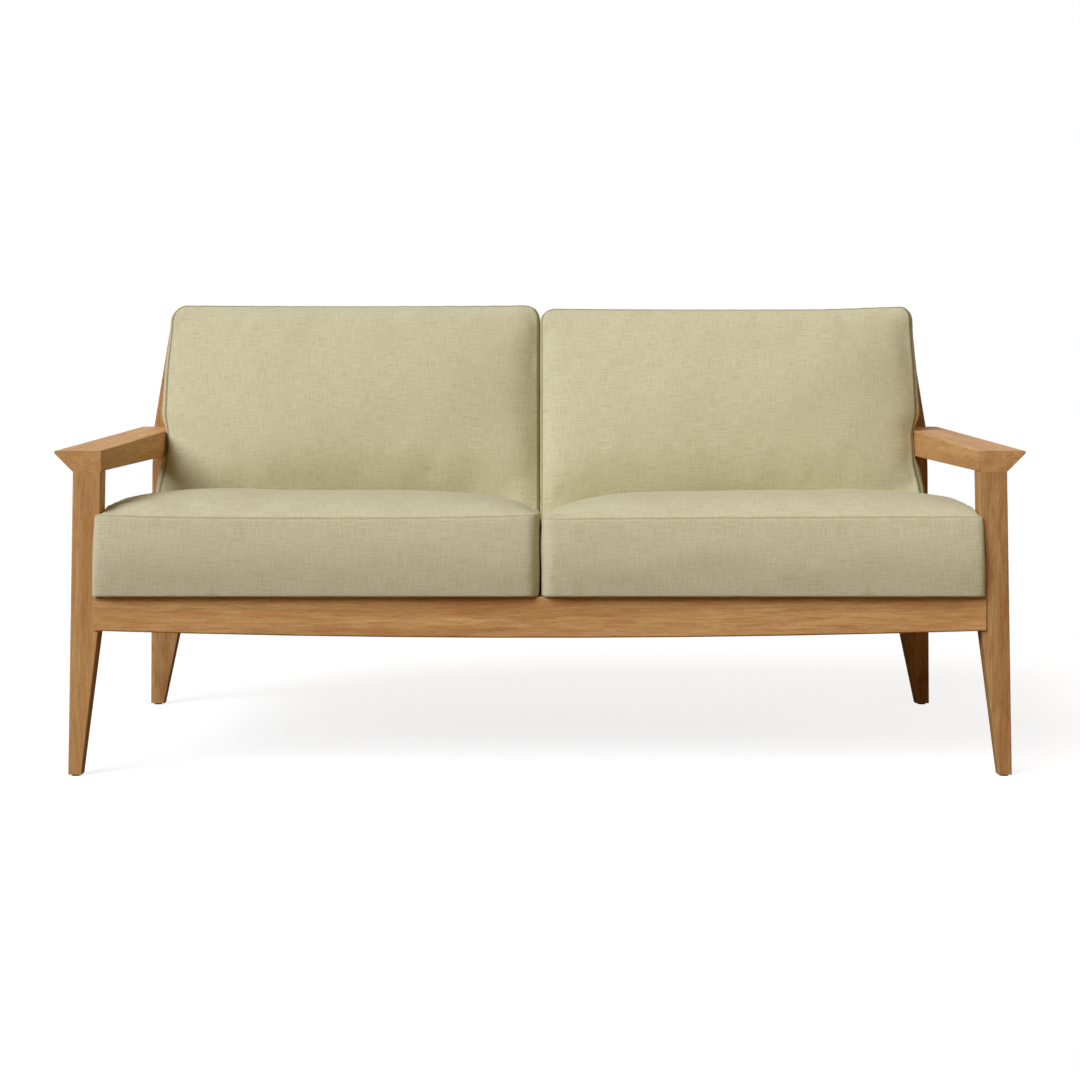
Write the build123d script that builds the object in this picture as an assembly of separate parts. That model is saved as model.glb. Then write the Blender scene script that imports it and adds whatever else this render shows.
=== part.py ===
from build123d import *
import math
import os

# Two-seat patio bench in solid wood, with two seat cushions and two back cushions.
# Sizes are in millimetres. X runs along the seat, +Y from the front to the rear, +Z up.
# While the pieces are drawn, Y is zero at the front face of the front legs.
# Left is the side at -X, as somebody who stands in front of the seat sees it.

# Armrests
width_over_arms = 1652.0
arm_overhang = 31.4
arm_underside = 518.0
arm_front_thickness = 35.5
arm_rise = 18.7
arm_undercut = 31.4
arm_corner_radius = 14.0

# Front legs
front_leg_width = 48.0
front_leg_foot_width = 23.4
front_leg_depth = 40.0
front_leg_shoulder_depth = 38.0
front_leg_foot_depth = 23.0
front_leg_splay = 8.0

# Rear legs, each one board with a knee, which carries the back
rear_leg_front = 722.0
rear_leg_offset = 7.4
rear_leg_width = 67.0
rear_leg_foot_width = 27.5
rear_leg_shoulder = 200.0
rear_leg_foot_depth = 22.0
rear_leg_shoulder_depth = 34.0
rear_leg_knee_depth = 42.0
rear_leg_top_depth = 30.0
rear_leg_rake = 1.6
knee_below_arm = 24.0
knee_bend = 21.0
post_rise = 281.0
post_top_taper = 23.0
post_straight_rise = 78.0
back_recline = 15.0

# Front apron
apron_lap = 11.4
apron_front = -3.0
apron_thickness = 25.0
apron_top = 305.7
apron_end_height = 58.5
apron_bow = 11.6

# Seat frame
seat_tilt = 2.0
rear_rail_inset = 9.0
rear_rail_thickness = 26.0
rear_rail_height = 64.0
side_rail_thickness = 24.0
side_rail_height = 54.0
side_rail_inset = 10.0
cleat_width = 22.0
cleat_height = 26.0
cleat_end_gap = 2.0
stretcher_thickness = 28.0
stretcher_height = 52.0
seat_slat_count = 12
seat_slat_width = 62.0
seat_slat_thickness = 14.0
seat_slat_end_gap = 0.8
seat_slat_margin = 34.0

# Back frame, measured up the reclined plane of the back from the knee
back_rail_thickness = 26.0
lower_back_rail_start = -20.0
lower_back_rail_height = 55.0
top_back_rail_height = 52.0
top_back_rail_drop = 4.0
back_slat_count = 12
back_slat_width = 52.0
back_slat_thickness = 12.0
back_slat_housing = 12.0

# Joinery
joint_clearance = 0.1
rail_housing = 6.0
tenon_thickness = 12.0
tenon_height = 30.0
tenon_length = 10.0
arm_tenon_width = 28.0
arm_tenon_depth = 22.0
arm_tenon_height = 18.0
arm_rear_tenon_height = 24.0
arm_rear_tenon_length = 16.0
edge_radius = 2.5
slat_chamfer = 2.0

# Connector bolts, barrel nuts and foot glides
bolt_radius = 3.0
bolt_head_radius = 7.0
bolt_head_height = 4.0
bolt_socket_radius = 4.0
bolt_socket_depth = 2.5
bolt_recess = 6.0
bolt_past_nut = 4.0
barrel_nut_radius = 5.0
barrel_nut_length = 17.0
barrel_nut_from_end = 34.0
bolt_hole_clearance = 0.25
glide_height = 3.0
glide_radius = 8.0
glide_stem_radius = 2.5
glide_stem_length = 14.0

# Cushions: two boxed seat cushions and two boxed back cushions
soft_clearance = 0.3
seat_seam_from_centre = 6.0
seat_seam_lap = 5.4
seat_seam_front = -14.0
seat_boxing_height = 133.0
seat_crown = 43.0
seat_base_crown = 8.0
seat_corner_radius = 16.0
seat_side_draw = 5.0
seat_boxing_bulge = 4.0
seat_foam_inset = 26.0
seat_foam_bottom = 14.0
seat_foam_below_seam = 27.0
back_seam_from_centre = 3.0
back_boxing_depth = 160.0
back_cushion_sink = 7.3
back_cushion_height = 388.0
back_crown = 27.0
back_base_crown = 8.0
back_corner_radius = 34.0
back_side_draw = 3.0
back_boxing_bulge = 1.5
back_foam_inset = 26.0
back_foam_wadding = 16.0

# Crown of a cushion panel: share of the crown's height, and of half the panel's shorter side
crown_height_share = (0.0, 0.50, 0.80, 0.95, 1.0)
crown_inset_share = (0.0, 0.08, 0.22, 0.42, 0.66)
base_height_share = (0.0, 0.75, 1.0)
base_inset_share = (0.0, 0.05, 0.13)
crown_rounding_share = 0.35
roundest_corner_share = 0.8

# Levels of the bend at the knee, as shares of half its height
knee_step_share = (-1.0, -0.4, 0.2, 1.0)

overrun = 20.0


# Places worked out from the sizes
arm_tip = width_over_arms / 2
leg_top_outer = arm_tip - arm_overhang
leg_top_inner = leg_top_outer - front_leg_width
rear_leg_outer = leg_top_outer + rear_leg_offset
rear_leg_inner = rear_leg_outer - rear_leg_width
rail_end = rear_leg_inner + rail_housing
apron_half_length = leg_top_inner + apron_lap
apron_back = apron_front + apron_thickness
front_leg_shoulder = apron_top - apron_end_height
tilt_slope = math.tan(math.radians(seat_tilt))
rake_slope = math.tan(math.radians(rear_leg_rake))
recline_sine = math.sin(math.radians(back_recline))
recline_cosine = math.cos(math.radians(back_recline))
knee_height = arm_underside - knee_below_arm
knee_front = rear_leg_front + knee_height * rake_slope
post_top = knee_height + post_rise
post_taper_start = knee_height + post_straight_rise
back_length = post_rise / recline_cosine
lower_back_rail_end = lower_back_rail_start + lower_back_rail_height
top_back_rail_end = back_length - top_back_rail_drop
top_back_rail_start = top_back_rail_end - top_back_rail_height
rear_rail_front = rear_leg_front + rear_rail_inset


def seat_plane(y):
    """Height of the seat plane, the top of the slats, at a distance y from the front."""
    return apron_top - (y - apron_front) * tilt_slope


rear_rail_bottom = seat_plane(rear_rail_front) - rear_rail_height
seat_seam_outer = leg_top_inner + seat_seam_lap
seat_seam_rear = rear_leg_front
seat_foam_top = seat_boxing_height - seat_foam_below_seam
back_cushion_foot = seat_plane(knee_front) + seat_boxing_height - back_cushion_sink
back_cushion_start = (back_cushion_foot - knee_height) / recline_cosine


def front_leg_outer(z):
    """Outer face of a front leg, which splays outwards towards the floor."""
    return leg_top_outer + front_leg_splay * (arm_underside - z) / arm_underside


def front_leg_back(z):
    """Rear face of a front leg between its shoulder and the arm."""
    share = (z - front_leg_shoulder) / (arm_underside - front_leg_shoulder)
    return front_leg_shoulder_depth + (front_leg_depth - front_leg_shoulder_depth) * share


def between(z, stations):
    """Value at a height, on straight lines between stations of (height, value)."""
    (low, at_low), (high, at_high) = stations[0], stations[1]
    if z > high and len(stations) > 2:
        return between(z, stations[1:])
    return at_low + (at_high - at_low) * (z - low) / (high - low)


def post_front(z):
    """Front face of a rear leg: raked below the knee, reclined above it and bent between."""
    past_bend = min(max(0.0, z - knee_height + knee_bend), 2 * knee_bend)
    slope_change = recline_sine / recline_cosine - rake_slope
    bent = slope_change * past_bend**2 / (4 * knee_bend)
    reclined = slope_change * max(0.0, z - knee_height - knee_bend)
    return rear_leg_front + z * rake_slope + bent + reclined


def post_depth(z):
    """Depth of a rear leg from front to rear: deepest at the knee."""
    stations = (
        (0.0, rear_leg_foot_depth),
        (rear_leg_shoulder, rear_leg_shoulder_depth),
        (knee_height, rear_leg_knee_depth),
        (post_top, rear_leg_top_depth),
    )
    return between(z, stations)


def post_inner(z):
    """Inner face of a rear leg, upright above the shoulder."""
    foot_inner = rear_leg_outer - rear_leg_foot_width
    return max(
        foot_inner + (rear_leg_inner - foot_inner) * z / rear_leg_shoulder,
        rear_leg_inner,
    )


def post_outer(z):
    """Outer face of a rear leg, upright to the arm and drawn in above it."""
    share = max(0.0, (z - post_taper_start) / (post_top - post_taper_start))
    return rear_leg_outer - post_top_taper * share


def back_point(up, forward):
    """Point in the side view, up the reclined back from the knee and forward of its plane."""
    y = knee_front + up * recline_sine - forward * recline_cosine
    z = knee_height + up * recline_cosine + forward * recline_sine
    return (y, z)


def side_prism(points, x_low, x_high):
    """Outline drawn in the side view as (y, z) points and run along X."""
    face = make_face(Polyline(*points, close=True))
    return extrude(Plane.YZ.offset(x_low) * face, x_high - x_low)


def front_prism(points, y_low, y_high):
    """Outline drawn in the front view as (x, z) points and run along Y."""
    face = make_face(Polyline(*points, close=True))
    return extrude(Plane.XZ.offset(-y_high) * face, y_high - y_low)


def block(x_low, x_high, y_low, y_high, z_low, z_high):
    """Upright block between two corners."""
    size = Box(x_high - x_low, y_high - y_low, z_high - z_low)
    middle = ((x_low + x_high) / 2, (y_low + y_high) / 2, (z_low + z_high) / 2)
    return Pos(*middle) * size


def back_block(x_low, x_high, up_low, up_high, forward_low, forward_high):
    """Block that lies square to the reclined back."""
    corners = [
        back_point(up_low, forward_low),
        back_point(up_high, forward_low),
        back_point(up_high, forward_high),
        back_point(up_low, forward_high),
    ]
    return side_prism(corners, x_low, x_high)


def rod(x_low, x_high, y, z, radius):
    """Round bar along X."""
    return Pos(x_low, y, z) * extrude(Plane.YZ * Circle(radius), x_high - x_low)


def eased(solid, shortest, radius):
    """Rounds every edge that is longer than the shortest one given."""
    long_edges = [edge for edge in solid.edges() if edge.length > shortest]
    return fillet(long_edges, radius)


# Connector bolts of the right side: place, outer end, rail end and the way the nut is drilled
lower_bolt = back_point((lower_back_rail_start + lower_back_rail_end) / 2, -back_rail_thickness / 2)
top_bolt = back_point((top_back_rail_start + top_back_rail_end) / 2, -back_rail_thickness / 2)
apron_bolt = ((apron_front + apron_back) / 2, apron_top - apron_end_height / 2)
rear_bolt = (
    rear_rail_front + rear_rail_thickness / 2,
    (rear_rail_bottom + seat_plane(rear_rail_front)) / 2,
)
bolt_places = {
    "apron": (apron_bolt, front_leg_outer(apron_bolt[1]), apron_half_length, 0.0),
    "rear": (rear_bolt, post_outer(rear_bolt[1]), rail_end, 0.0),
    "lower": (lower_bolt, post_outer(lower_bolt[1]), rail_end, back_recline),
    "top": (top_bolt, post_outer(top_bolt[1]), rail_end, back_recline),
}


def bolt(name):
    """Connector bolt of the right side, its head sunk in the leg, with a socket for the key."""
    (y, z), outer, end, _ = bolt_places[name]
    tip = end - barrel_nut_from_end - barrel_nut_radius - bolt_past_nut
    seat = outer - bolt_recess
    head = rod(seat, seat + bolt_head_height, y, z, bolt_head_radius)
    socket_start = seat + bolt_head_height - bolt_socket_depth
    hexagon = Plane.YZ * RegularPolygon(bolt_socket_radius, 6)
    socket = Pos(socket_start, y, z) * extrude(hexagon, bolt_socket_depth)
    return rod(tip, seat, y, z, bolt_radius) + head - socket


def bolt_hole(name):
    """Room for a bolt's shank and its sunk head."""
    (y, z), outer, end, _ = bolt_places[name]
    tip = end - barrel_nut_from_end - barrel_nut_radius - bolt_past_nut
    seat = outer - bolt_recess
    shank = rod(tip - bolt_hole_clearance, seat + overrun, y, z, bolt_radius + bolt_hole_clearance)
    head = rod(seat, seat + overrun, y, z, bolt_head_radius + bolt_hole_clearance)
    return shank + head


def nut_bar(name, radius, past):
    """Round bar through a rail from its rear face, where the barrel nut goes."""
    (y, z), _, end, lean = bolt_places[name]
    place = Pos(end - barrel_nut_from_end, y, z) * Rot(-lean, 0, 0)
    half = barrel_nut_length / 2
    bar = extrude(Plane.XZ * Circle(radius), half + past, dir=(0, 1, 0))
    return place * (bar + extrude(Plane.XZ * Circle(radius), half, dir=(0, -1, 0)))


def barrel_nut(name):
    """Barrel nut of the right side, drilled across for its bolt."""
    (y, z), outer, _, _ = bolt_places[name]
    return nut_bar(name, barrel_nut_radius, 0.0) - rod(
        0.0, outer, y, z, bolt_radius + bolt_hole_clearance
    )


def nut_hole(name):
    """Blind hole for a barrel nut, open at the rail's rear face."""
    return nut_bar(name, barrel_nut_radius + joint_clearance, overrun)


def foot_middles():
    """Middles of the right front foot and the right rear foot, seen from above."""
    front = (front_leg_outer(glide_height) - front_leg_foot_width / 2, front_leg_foot_depth / 2)
    rear = (rear_leg_outer - rear_leg_foot_width / 2, rear_leg_front + rear_leg_foot_depth / 2)
    return front, rear


def foot_glides():
    """Nylon glides of the right side, each a pad with a stem."""
    glides = []
    for x, y in foot_middles():
        pad = extrude(Pos(x, y, 0) * Circle(glide_radius), glide_height)
        stem = extrude(Pos(x, y, glide_height) * Circle(glide_stem_radius), glide_stem_length)
        glides.append(pad + stem)
    return glides


def glide_hole(middle):
    """Hole in a foot for the stem of its glide."""
    hole = Circle(glide_stem_radius + joint_clearance)
    return extrude(Pos(*middle, glide_height) * hole, glide_stem_length + joint_clearance)


def front_leg_section(z, width, depth):
    """Level section of the right front leg, flush with its front and outer faces."""
    middle = (front_leg_outer(z) - width / 2, depth / 2)
    return Plane.XY.offset(z) * Pos(*middle) * RectangleRounded(width, depth, edge_radius)


def front_leg():
    """Right front leg: tapered below its shoulder, with a stub tenon for the arm."""
    foot = front_leg_section(glide_height, front_leg_foot_width, front_leg_foot_depth)
    shoulder = front_leg_section(front_leg_shoulder, front_leg_width, front_leg_shoulder_depth)
    top = front_leg_section(arm_underside, front_leg_width, front_leg_depth)
    leg = loft([foot, shoulder, top], ruled=True) + arm_tenon(0.0)
    leg = leg - apron_end(joint_clearance)
    leg = leg - side_rail_tenon(joint_clearance, True)
    return leg - bolt_hole("apron") - glide_hole(foot_middles()[0])


def arm_tenon(grow):
    """Stub tenon on top of the front leg, or its mortise in the arm when grown."""
    middle_x = leg_top_outer - front_leg_width / 2
    middle_y = front_leg_depth / 2
    return block(
        middle_x - arm_tenon_width / 2 - grow,
        middle_x + arm_tenon_width / 2 + grow,
        middle_y - arm_tenon_depth / 2 - grow,
        middle_y + arm_tenon_depth / 2 + grow,
        arm_underside,
        arm_underside + arm_tenon_height + grow,
    )


def arm_rear_tenon(grow):
    """Tenon on the rear end of the arm, or its mortise in the rear leg when grown."""
    middle_x = (leg_top_inner + leg_top_outer) / 2
    middle_z = arm_underside + arm_front_thickness / 2 + arm_rise / 2
    face = post_front(middle_z)
    return block(
        middle_x - tenon_thickness / 2 - grow,
        middle_x + tenon_thickness / 2 + grow,
        face - overrun,
        face + arm_rear_tenon_length + grow,
        middle_z - arm_rear_tenon_height / 2 - grow,
        middle_z + arm_rear_tenon_height / 2 + grow,
    )


def armrest():
    """Right armrest: its top rises to the rear and its outer lower edge is cut away at 45 degrees."""
    rear_top = arm_underside + arm_front_thickness + arm_rise
    side = [
        (0.0, arm_underside),
        (post_front(arm_underside), arm_underside),
        (post_front(rear_top), rear_top),
        (0.0, arm_underside + arm_front_thickness),
    ]
    front = [
        (leg_top_inner, arm_underside),
        (leg_top_outer, arm_underside),
        (arm_tip, arm_underside + arm_undercut),
        (arm_tip, rear_top),
        (leg_top_inner, rear_top),
    ]
    arm = side_prism(side, leg_top_inner, arm_tip) & front_prism(front, 0.0, post_front(rear_top))
    arm = eased(arm, rear_leg_front / 2, edge_radius) - arm_corner_waste()
    return arm + arm_rear_tenon(0.0) - arm_tenon(joint_clearance)


def arm_corner_waste():
    """What is cut off the arm's rear outer corner to round it."""
    rear = post_front(arm_underside + arm_front_thickness + arm_rise)
    corner = block(
        arm_tip - arm_corner_radius,
        arm_tip + overrun,
        rear - arm_corner_radius,
        rear + overrun,
        0.0,
        post_top,
    )
    centre = Pos(arm_tip - arm_corner_radius, rear - arm_corner_radius, 0)
    return corner - extrude(centre * Circle(arm_corner_radius), post_top)


def rear_leg_level(z):
    """Level section of the right rear leg, a rectangle with rounded corners."""
    width = post_outer(z) - post_inner(z)
    depth = post_depth(z)
    middle = (post_outer(z) - width / 2, post_front(z) + depth / 2)
    return Plane.XY.offset(z) * Pos(*middle) * RectangleRounded(width, depth, edge_radius)


def rear_leg():
    """Right rear leg: one board with a tapered foot, a bent knee and a reclined post above it."""
    bend_steps = [knee_height + knee_bend * step for step in knee_step_share]
    levels = [glide_height, rear_leg_shoulder, *bend_steps, post_taper_start, post_top]
    leg = loft([rear_leg_level(z) for z in levels], ruled=True)
    leg = leg - arm_rear_tenon(joint_clearance) - side_rail_tenon(joint_clearance, False)
    leg = leg - rear_rail_block(joint_clearance)
    leg = leg - lower_back_rail_block(joint_clearance) - top_back_rail_block(joint_clearance)
    for name in ("rear", "lower", "top"):
        leg = leg - bolt_hole(name)
    return leg - glide_hole(foot_middles()[1])


def side_rail_tenon(grow, at_front):
    """Tenon of the side rail in the front or the rear leg, or its mortise when grown."""
    outer = rear_leg_outer - side_rail_inset
    middle_x = outer - side_rail_thickness / 2
    y = front_leg_back(front_leg_shoulder) if at_front else rear_leg_front
    middle_z = seat_plane(y) - side_rail_height / 2
    low_y, high_y = (y - tenon_length - grow, y + overrun)
    if not at_front:
        face = post_front(middle_z)
        low_y, high_y = (face - overrun, face + tenon_length + grow)
    return block(
        middle_x - tenon_thickness / 2 - grow,
        middle_x + tenon_thickness / 2 + grow,
        low_y,
        high_y,
        middle_z - tenon_height / 2 - grow,
        middle_z + tenon_height / 2 + grow,
    )


def side_rail():
    """Right side rail, which follows the tilt of the seat between the two legs."""
    outer = rear_leg_outer - side_rail_inset
    front_top = seat_plane(front_leg_shoulder_depth)
    rear_top = seat_plane(rear_leg_front)
    side = [
        (front_leg_back(front_top), front_top),
        (post_front(rear_top), rear_top),
        (post_front(rear_top - side_rail_height), rear_top - side_rail_height),
        (front_leg_back(front_top - side_rail_height), front_top - side_rail_height),
    ]
    rail = eased(side_prism(side, outer - side_rail_thickness, outer), side_rail_height * 2, edge_radius)
    return rail + side_rail_tenon(0.0, True) + side_rail_tenon(0.0, False)


def apron_end(grow):
    """Straight end of the front apron, or the notch that takes it in the leg when grown."""
    return block(
        leg_top_inner - overrun,
        apron_half_length + grow,
        apron_front - overrun,
        apron_back + grow,
        apron_top - apron_end_height - grow,
        apron_top + grow,
    )


def front_apron():
    """Front apron: one board, its lower edge bowed down to the middle and its top on the seat's tilt."""
    half = apron_half_length
    inner = leg_top_inner
    low = apron_top - apron_end_height
    ends = [(-inner, low), (-half, low), (-half, apron_top), (half, apron_top), (half, low), (inner, low)]
    top = Polyline(*ends)
    bow = ThreePointArc((inner, low), (0.0, low - apron_bow), (-inner, low))
    board = extrude(Plane.XZ.offset(-apron_back) * make_face(top + bow), apron_thickness)
    waste = [
        (apron_front, seat_plane(apron_front)),
        (apron_back, seat_plane(apron_back)),
        (apron_back, apron_top + overrun),
        (apron_front, apron_top + overrun),
    ]
    board = board - side_prism(waste, -half, half)
    board = eased(board, apron_half_length, edge_radius)
    return board - both(bolt_hole("apron")) - both(nut_hole("apron"))


def rear_rail_block(grow):
    """Rear seat rail, housed in the rear legs, or its housing when grown."""
    rear = rear_rail_front + rear_rail_thickness
    side = [
        (rear_rail_front - grow, rear_rail_bottom - grow),
        (rear + grow, rear_rail_bottom - grow),
        (rear + grow, seat_plane(rear) + grow),
        (rear_rail_front - grow, seat_plane(rear_rail_front) + grow),
    ]
    return side_prism(side, -rail_end - grow, rail_end + grow)


def rear_rail():
    """Rear seat rail with its bolt and nut holes."""
    rail = eased(rear_rail_block(0.0), rail_end, edge_radius)
    return rail - both(bolt_hole("rear")) - both(nut_hole("rear"))


def lower_back_rail_block(grow):
    """Lower back rail, or its housings when grown."""
    low, high = lower_back_rail_start, lower_back_rail_end
    return back_block(
        -rail_end - grow, rail_end + grow, low - grow, high + grow, -back_rail_thickness - grow, grow
    )


def top_back_rail_block(grow):
    """Top back rail, or its housings when grown."""
    low, high = top_back_rail_start, top_back_rail_end
    return back_block(
        -rail_end - grow, rail_end + grow, low - grow, high + grow, -back_rail_thickness - grow, grow
    )


def back_rail(board, name):
    """One back rail with the mortises of the slats and its bolt and nut holes."""
    rail = eased(board, rail_end, edge_radius)
    for x in back_slat_places():
        rail = rail - back_slat(x, joint_clearance)
    return rail - both(bolt_hole(name)) - both(nut_hole(name))


def back_slat_places():
    """Centres of the back slats, spaced evenly between the posts."""
    pitch = 2 * rear_leg_inner / (back_slat_count + 1)
    return [pitch * (number + 1) - rear_leg_inner for number in range(back_slat_count)]


def back_slat(x, grow):
    """Upright back slat between the two back rails, or the space it needs when grown."""
    half = back_slat_width / 2 + grow
    middle = back_rail_thickness / 2
    return back_block(
        x - half,
        x + half,
        lower_back_rail_end - back_slat_housing - grow,
        top_back_rail_start + back_slat_housing + grow,
        -middle - back_slat_thickness / 2 - grow,
        -middle + back_slat_thickness / 2 + grow,
    )


def cleat(front_y, rear_y, half_length):
    """Cleat screwed to a rail, its top on the underside of the slats."""
    side = []
    for y in (front_y, rear_y):
        side.append((y, seat_plane(y) - seat_slat_thickness))
    for y in (rear_y, front_y):
        side.append((y, seat_plane(y) - seat_slat_thickness - cleat_height))
    return side_prism(side, -half_length, half_length)


def front_cleat():
    """Cleat behind the front apron, between the front legs."""
    half = front_leg_outer(front_leg_shoulder) - front_leg_width - cleat_end_gap
    return cleat(apron_back, apron_back + cleat_width, min(half, leg_top_inner - cleat_end_gap))


def rear_cleat():
    """Cleat on the front of the rear rail, between the rear legs."""
    return cleat(rear_rail_front - cleat_width, rear_rail_front, rear_leg_inner - cleat_end_gap)


def seat_slat_places():
    """Centres of the seat slats, half of them on each side of the middle stretcher."""
    first = stretcher_thickness / 2 + seat_slat_margin
    last = rear_leg_inner - seat_slat_margin
    per_side = seat_slat_count // 2
    step = (last - first - seat_slat_width) / (per_side - 1)
    right = [first + seat_slat_width / 2 + step * number for number in range(per_side)]
    return [-x for x in reversed(right)] + right


def seat_slat(x):
    """Seat slat from front to rear on the two cleats, its long upper edges chamfered."""
    half = seat_slat_width / 2
    side = []
    front_y = apron_back + seat_slat_end_gap
    rear_y = rear_rail_front - seat_slat_end_gap
    for y in (front_y, rear_y):
        side.append((y, seat_plane(y)))
    for y in (rear_y, front_y):
        side.append((y, seat_plane(y) - seat_slat_thickness))
    slat = side_prism(side, x - half, x + half)
    upper = slat.edges().filter_by(lambda edge: edge.length > seat_slat_width * 2)
    upper = upper.sort_by(Axis.Z)[-2:]
    return chamfer(upper, slat_chamfer)


def centre_stretcher():
    """Middle stretcher: lies on both cleats like a slat, with a rib between them."""
    front_y = apron_back + seat_slat_end_gap
    rear_y = rear_rail_front - seat_slat_end_gap
    rib_front = apron_back + cleat_width + seat_slat_end_gap
    rib_rear = rear_rail_front - cleat_width - seat_slat_end_gap
    side = [
        (front_y, seat_plane(front_y)),
        (rear_y, seat_plane(rear_y)),
        (rear_y, seat_plane(rear_y) - seat_slat_thickness),
        (rib_rear, seat_plane(rib_rear) - seat_slat_thickness),
        (rib_rear, seat_plane(rib_rear) - stretcher_height),
        (rib_front, seat_plane(rib_front) - stretcher_height),
        (rib_front, seat_plane(rib_front) - seat_slat_thickness),
        (front_y, seat_plane(front_y) - seat_slat_thickness),
    ]
    return side_prism(side, -stretcher_thickness / 2, stretcher_thickness / 2)


def both(solid):
    """A solid of the right side together with its mirror image."""
    return Compound([*solid.solids(), *mirror(solid, Plane.YZ).solids()])


def cushion_outline(width, length, radius, draw):
    """Level outline of a cushion: round corners, and sides drawn in between them by shallow arcs."""
    a, b = width / 2, length / 2
    bend = radius * (1 - math.sqrt(0.5))
    corners = []
    for sx, sy in ((1, 1), (-1, 1), (-1, -1), (1, -1)):
        on_side = (sx * a, sy * (b - radius))
        on_end = (sx * (a - radius), sy * b)
        middle = (sx * (a - bend), sy * (b - bend))
        corners.append((on_side, middle, on_end))
    (r1, m1, t1), (l2, m2, t2), (l3, m3, b3), (r4, m4, b4) = corners
    return Wire(
        [
            ThreePointArc(r1, m1, t1),
            ThreePointArc(t1, (0.0, b - draw), t2),
            ThreePointArc(t2, m2, l2),
            ThreePointArc(l2, (draw - a, 0.0), l3),
            ThreePointArc(l3, m3, b3),
            ThreePointArc(b3, (0.0, draw - b), b4),
            ThreePointArc(b4, m4, r4),
            ThreePointArc(r4, (a - draw, 0.0), r1),
        ]
    )


def cushion_level(width, length, radius, draw, inset, height):
    """Outline of a cushion at one height, drawn in by an inset."""
    half = min(width, length) / 2 - inset
    rounder = min(radius + inset * crown_rounding_share, half * roundest_corner_share)
    wire = cushion_outline(width - 2 * inset, length - 2 * inset, rounder, draw)
    return Pos(0, 0, height) * Face(wire)


def panel(width, length, radius, draw, start, rise, heights, insets, flat):
    """Panel of a cushion from its seam: levels that draw in as they leave it."""
    half = min(width, length) / 2
    levels = []
    for height, inset in zip(heights, insets):
        level = cushion_level(width, length, radius, draw, half * inset, start + rise * height)
        levels.append(level)
    return loft(levels, ruled=flat)


def boxed_cushion(width, length, radius, draw, bottom, seam, top_crown, base_crown, bulge):
    """Boxed cushion: crowned panel, boxing that swells between its seams, flatter panel below."""
    shape = (width, length, radius, draw)
    boxing = loft(
        [
            cushion_level(*shape, 0.0, bottom + base_crown),
            cushion_level(*shape, -bulge, (bottom + base_crown + seam) / 2),
            cushion_level(*shape, 0.0, seam),
        ]
    )
    upper = panel(*shape, seam, top_crown, crown_height_share, crown_inset_share, False)
    base = bottom + base_crown
    lower = panel(*shape, base, -base_crown, base_height_share, base_inset_share, True)
    return lower + boxing + upper


def seat_place():
    """Place of a seat cushion's own axes: on the seat plane, level with the front of the legs."""
    middle_x = (seat_seam_from_centre + seat_seam_outer) / 2
    return Pos(middle_x, 0.0, seat_plane(0.0)) * Rot(-seat_tilt, 0, 0)


def seat_foam():
    """Foam block inside the right seat cushion."""
    inner = seat_seam_from_centre + seat_foam_inset
    outer = leg_top_inner - seat_foam_inset
    width = outer - inner
    length = seat_seam_rear - seat_seam_front - 2 * seat_foam_inset
    height = seat_foam_top - seat_foam_bottom
    middle_y = (seat_seam_front + seat_seam_rear) / 2
    middle_z = (seat_foam_bottom + seat_foam_top) / 2
    shift = (inner + outer) / 2 - (seat_seam_from_centre + seat_seam_outer) / 2
    return seat_place() * Pos(shift, middle_y, middle_z) * Box(width, length, height)


def seat_cover():
    """Right seat cushion: boxed form, cut where the legs and the back cushion press on it."""
    width = seat_seam_outer - seat_seam_from_centre
    length = seat_seam_rear - seat_seam_front
    form = boxed_cushion(
        width,
        length,
        seat_corner_radius,
        seat_side_draw,
        soft_clearance,
        seat_boxing_height,
        seat_crown,
        seat_base_crown,
        seat_boxing_bulge,
    )
    middle_y = (seat_seam_front + seat_seam_rear) / 2
    form = seat_place() * Pos(0, middle_y, 0) * form
    beside_leg = block(
        leg_top_inner - soft_clearance,
        arm_tip,
        -soft_clearance,
        rear_leg_front + rear_leg_knee_depth,
        0.0,
        arm_underside,
    )
    low = back_cushion_start - back_boxing_bulge - soft_clearance
    reach = back_boxing_depth + back_crown
    under_back = back_block(0.0, arm_tip, low, low + reach, -reach, 2 * reach)
    return form - beside_leg - under_back - seat_foam()


def back_place():
    """Place of a back cushion's own axes: on the reclined plane, its length up the back."""
    middle_x = (back_seam_from_centre + leg_top_inner - back_boxing_bulge - soft_clearance) / 2
    y, z = back_point(back_cushion_start + back_cushion_height / 2, 0.0)
    return Pos(middle_x, y, z) * Rot(90 - back_recline, 0, 0)


def back_foam():
    """Foam block inside the right back cushion."""
    width = back_width() - 2 * back_foam_inset
    length = back_cushion_height - 2 * back_foam_inset
    depth = back_boxing_depth - 2 * back_foam_wadding
    return back_place() * Pos(0, 0, back_boxing_depth / 2) * Box(width, length, depth)


def back_width():
    """Width of a back cushion from seam to seam, between the middle and the arm."""
    outer = leg_top_inner - back_boxing_bulge - soft_clearance
    return outer - back_seam_from_centre


def back_cover():
    """Right back cushion: boxed form that lies against the reclined back."""
    form = boxed_cushion(
        back_width(),
        back_cushion_height,
        back_corner_radius,
        back_side_draw,
        soft_clearance,
        back_boxing_depth,
        back_crown,
        back_base_crown,
        back_boxing_bulge,
    )
    return back_place() * form - back_foam()


def right_and_left(name, solid):
    """A sub-part of the right side and its mirror image, each under its own name."""
    return {name + "_right": solid, name + "_left": mirror(solid, Plane.YZ)}


def numbered(name, solids):
    """Like sub-parts, numbered from the left."""
    return {f"{name}_{number + 1:02d}": solid for number, solid in enumerate(solids)}


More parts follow.
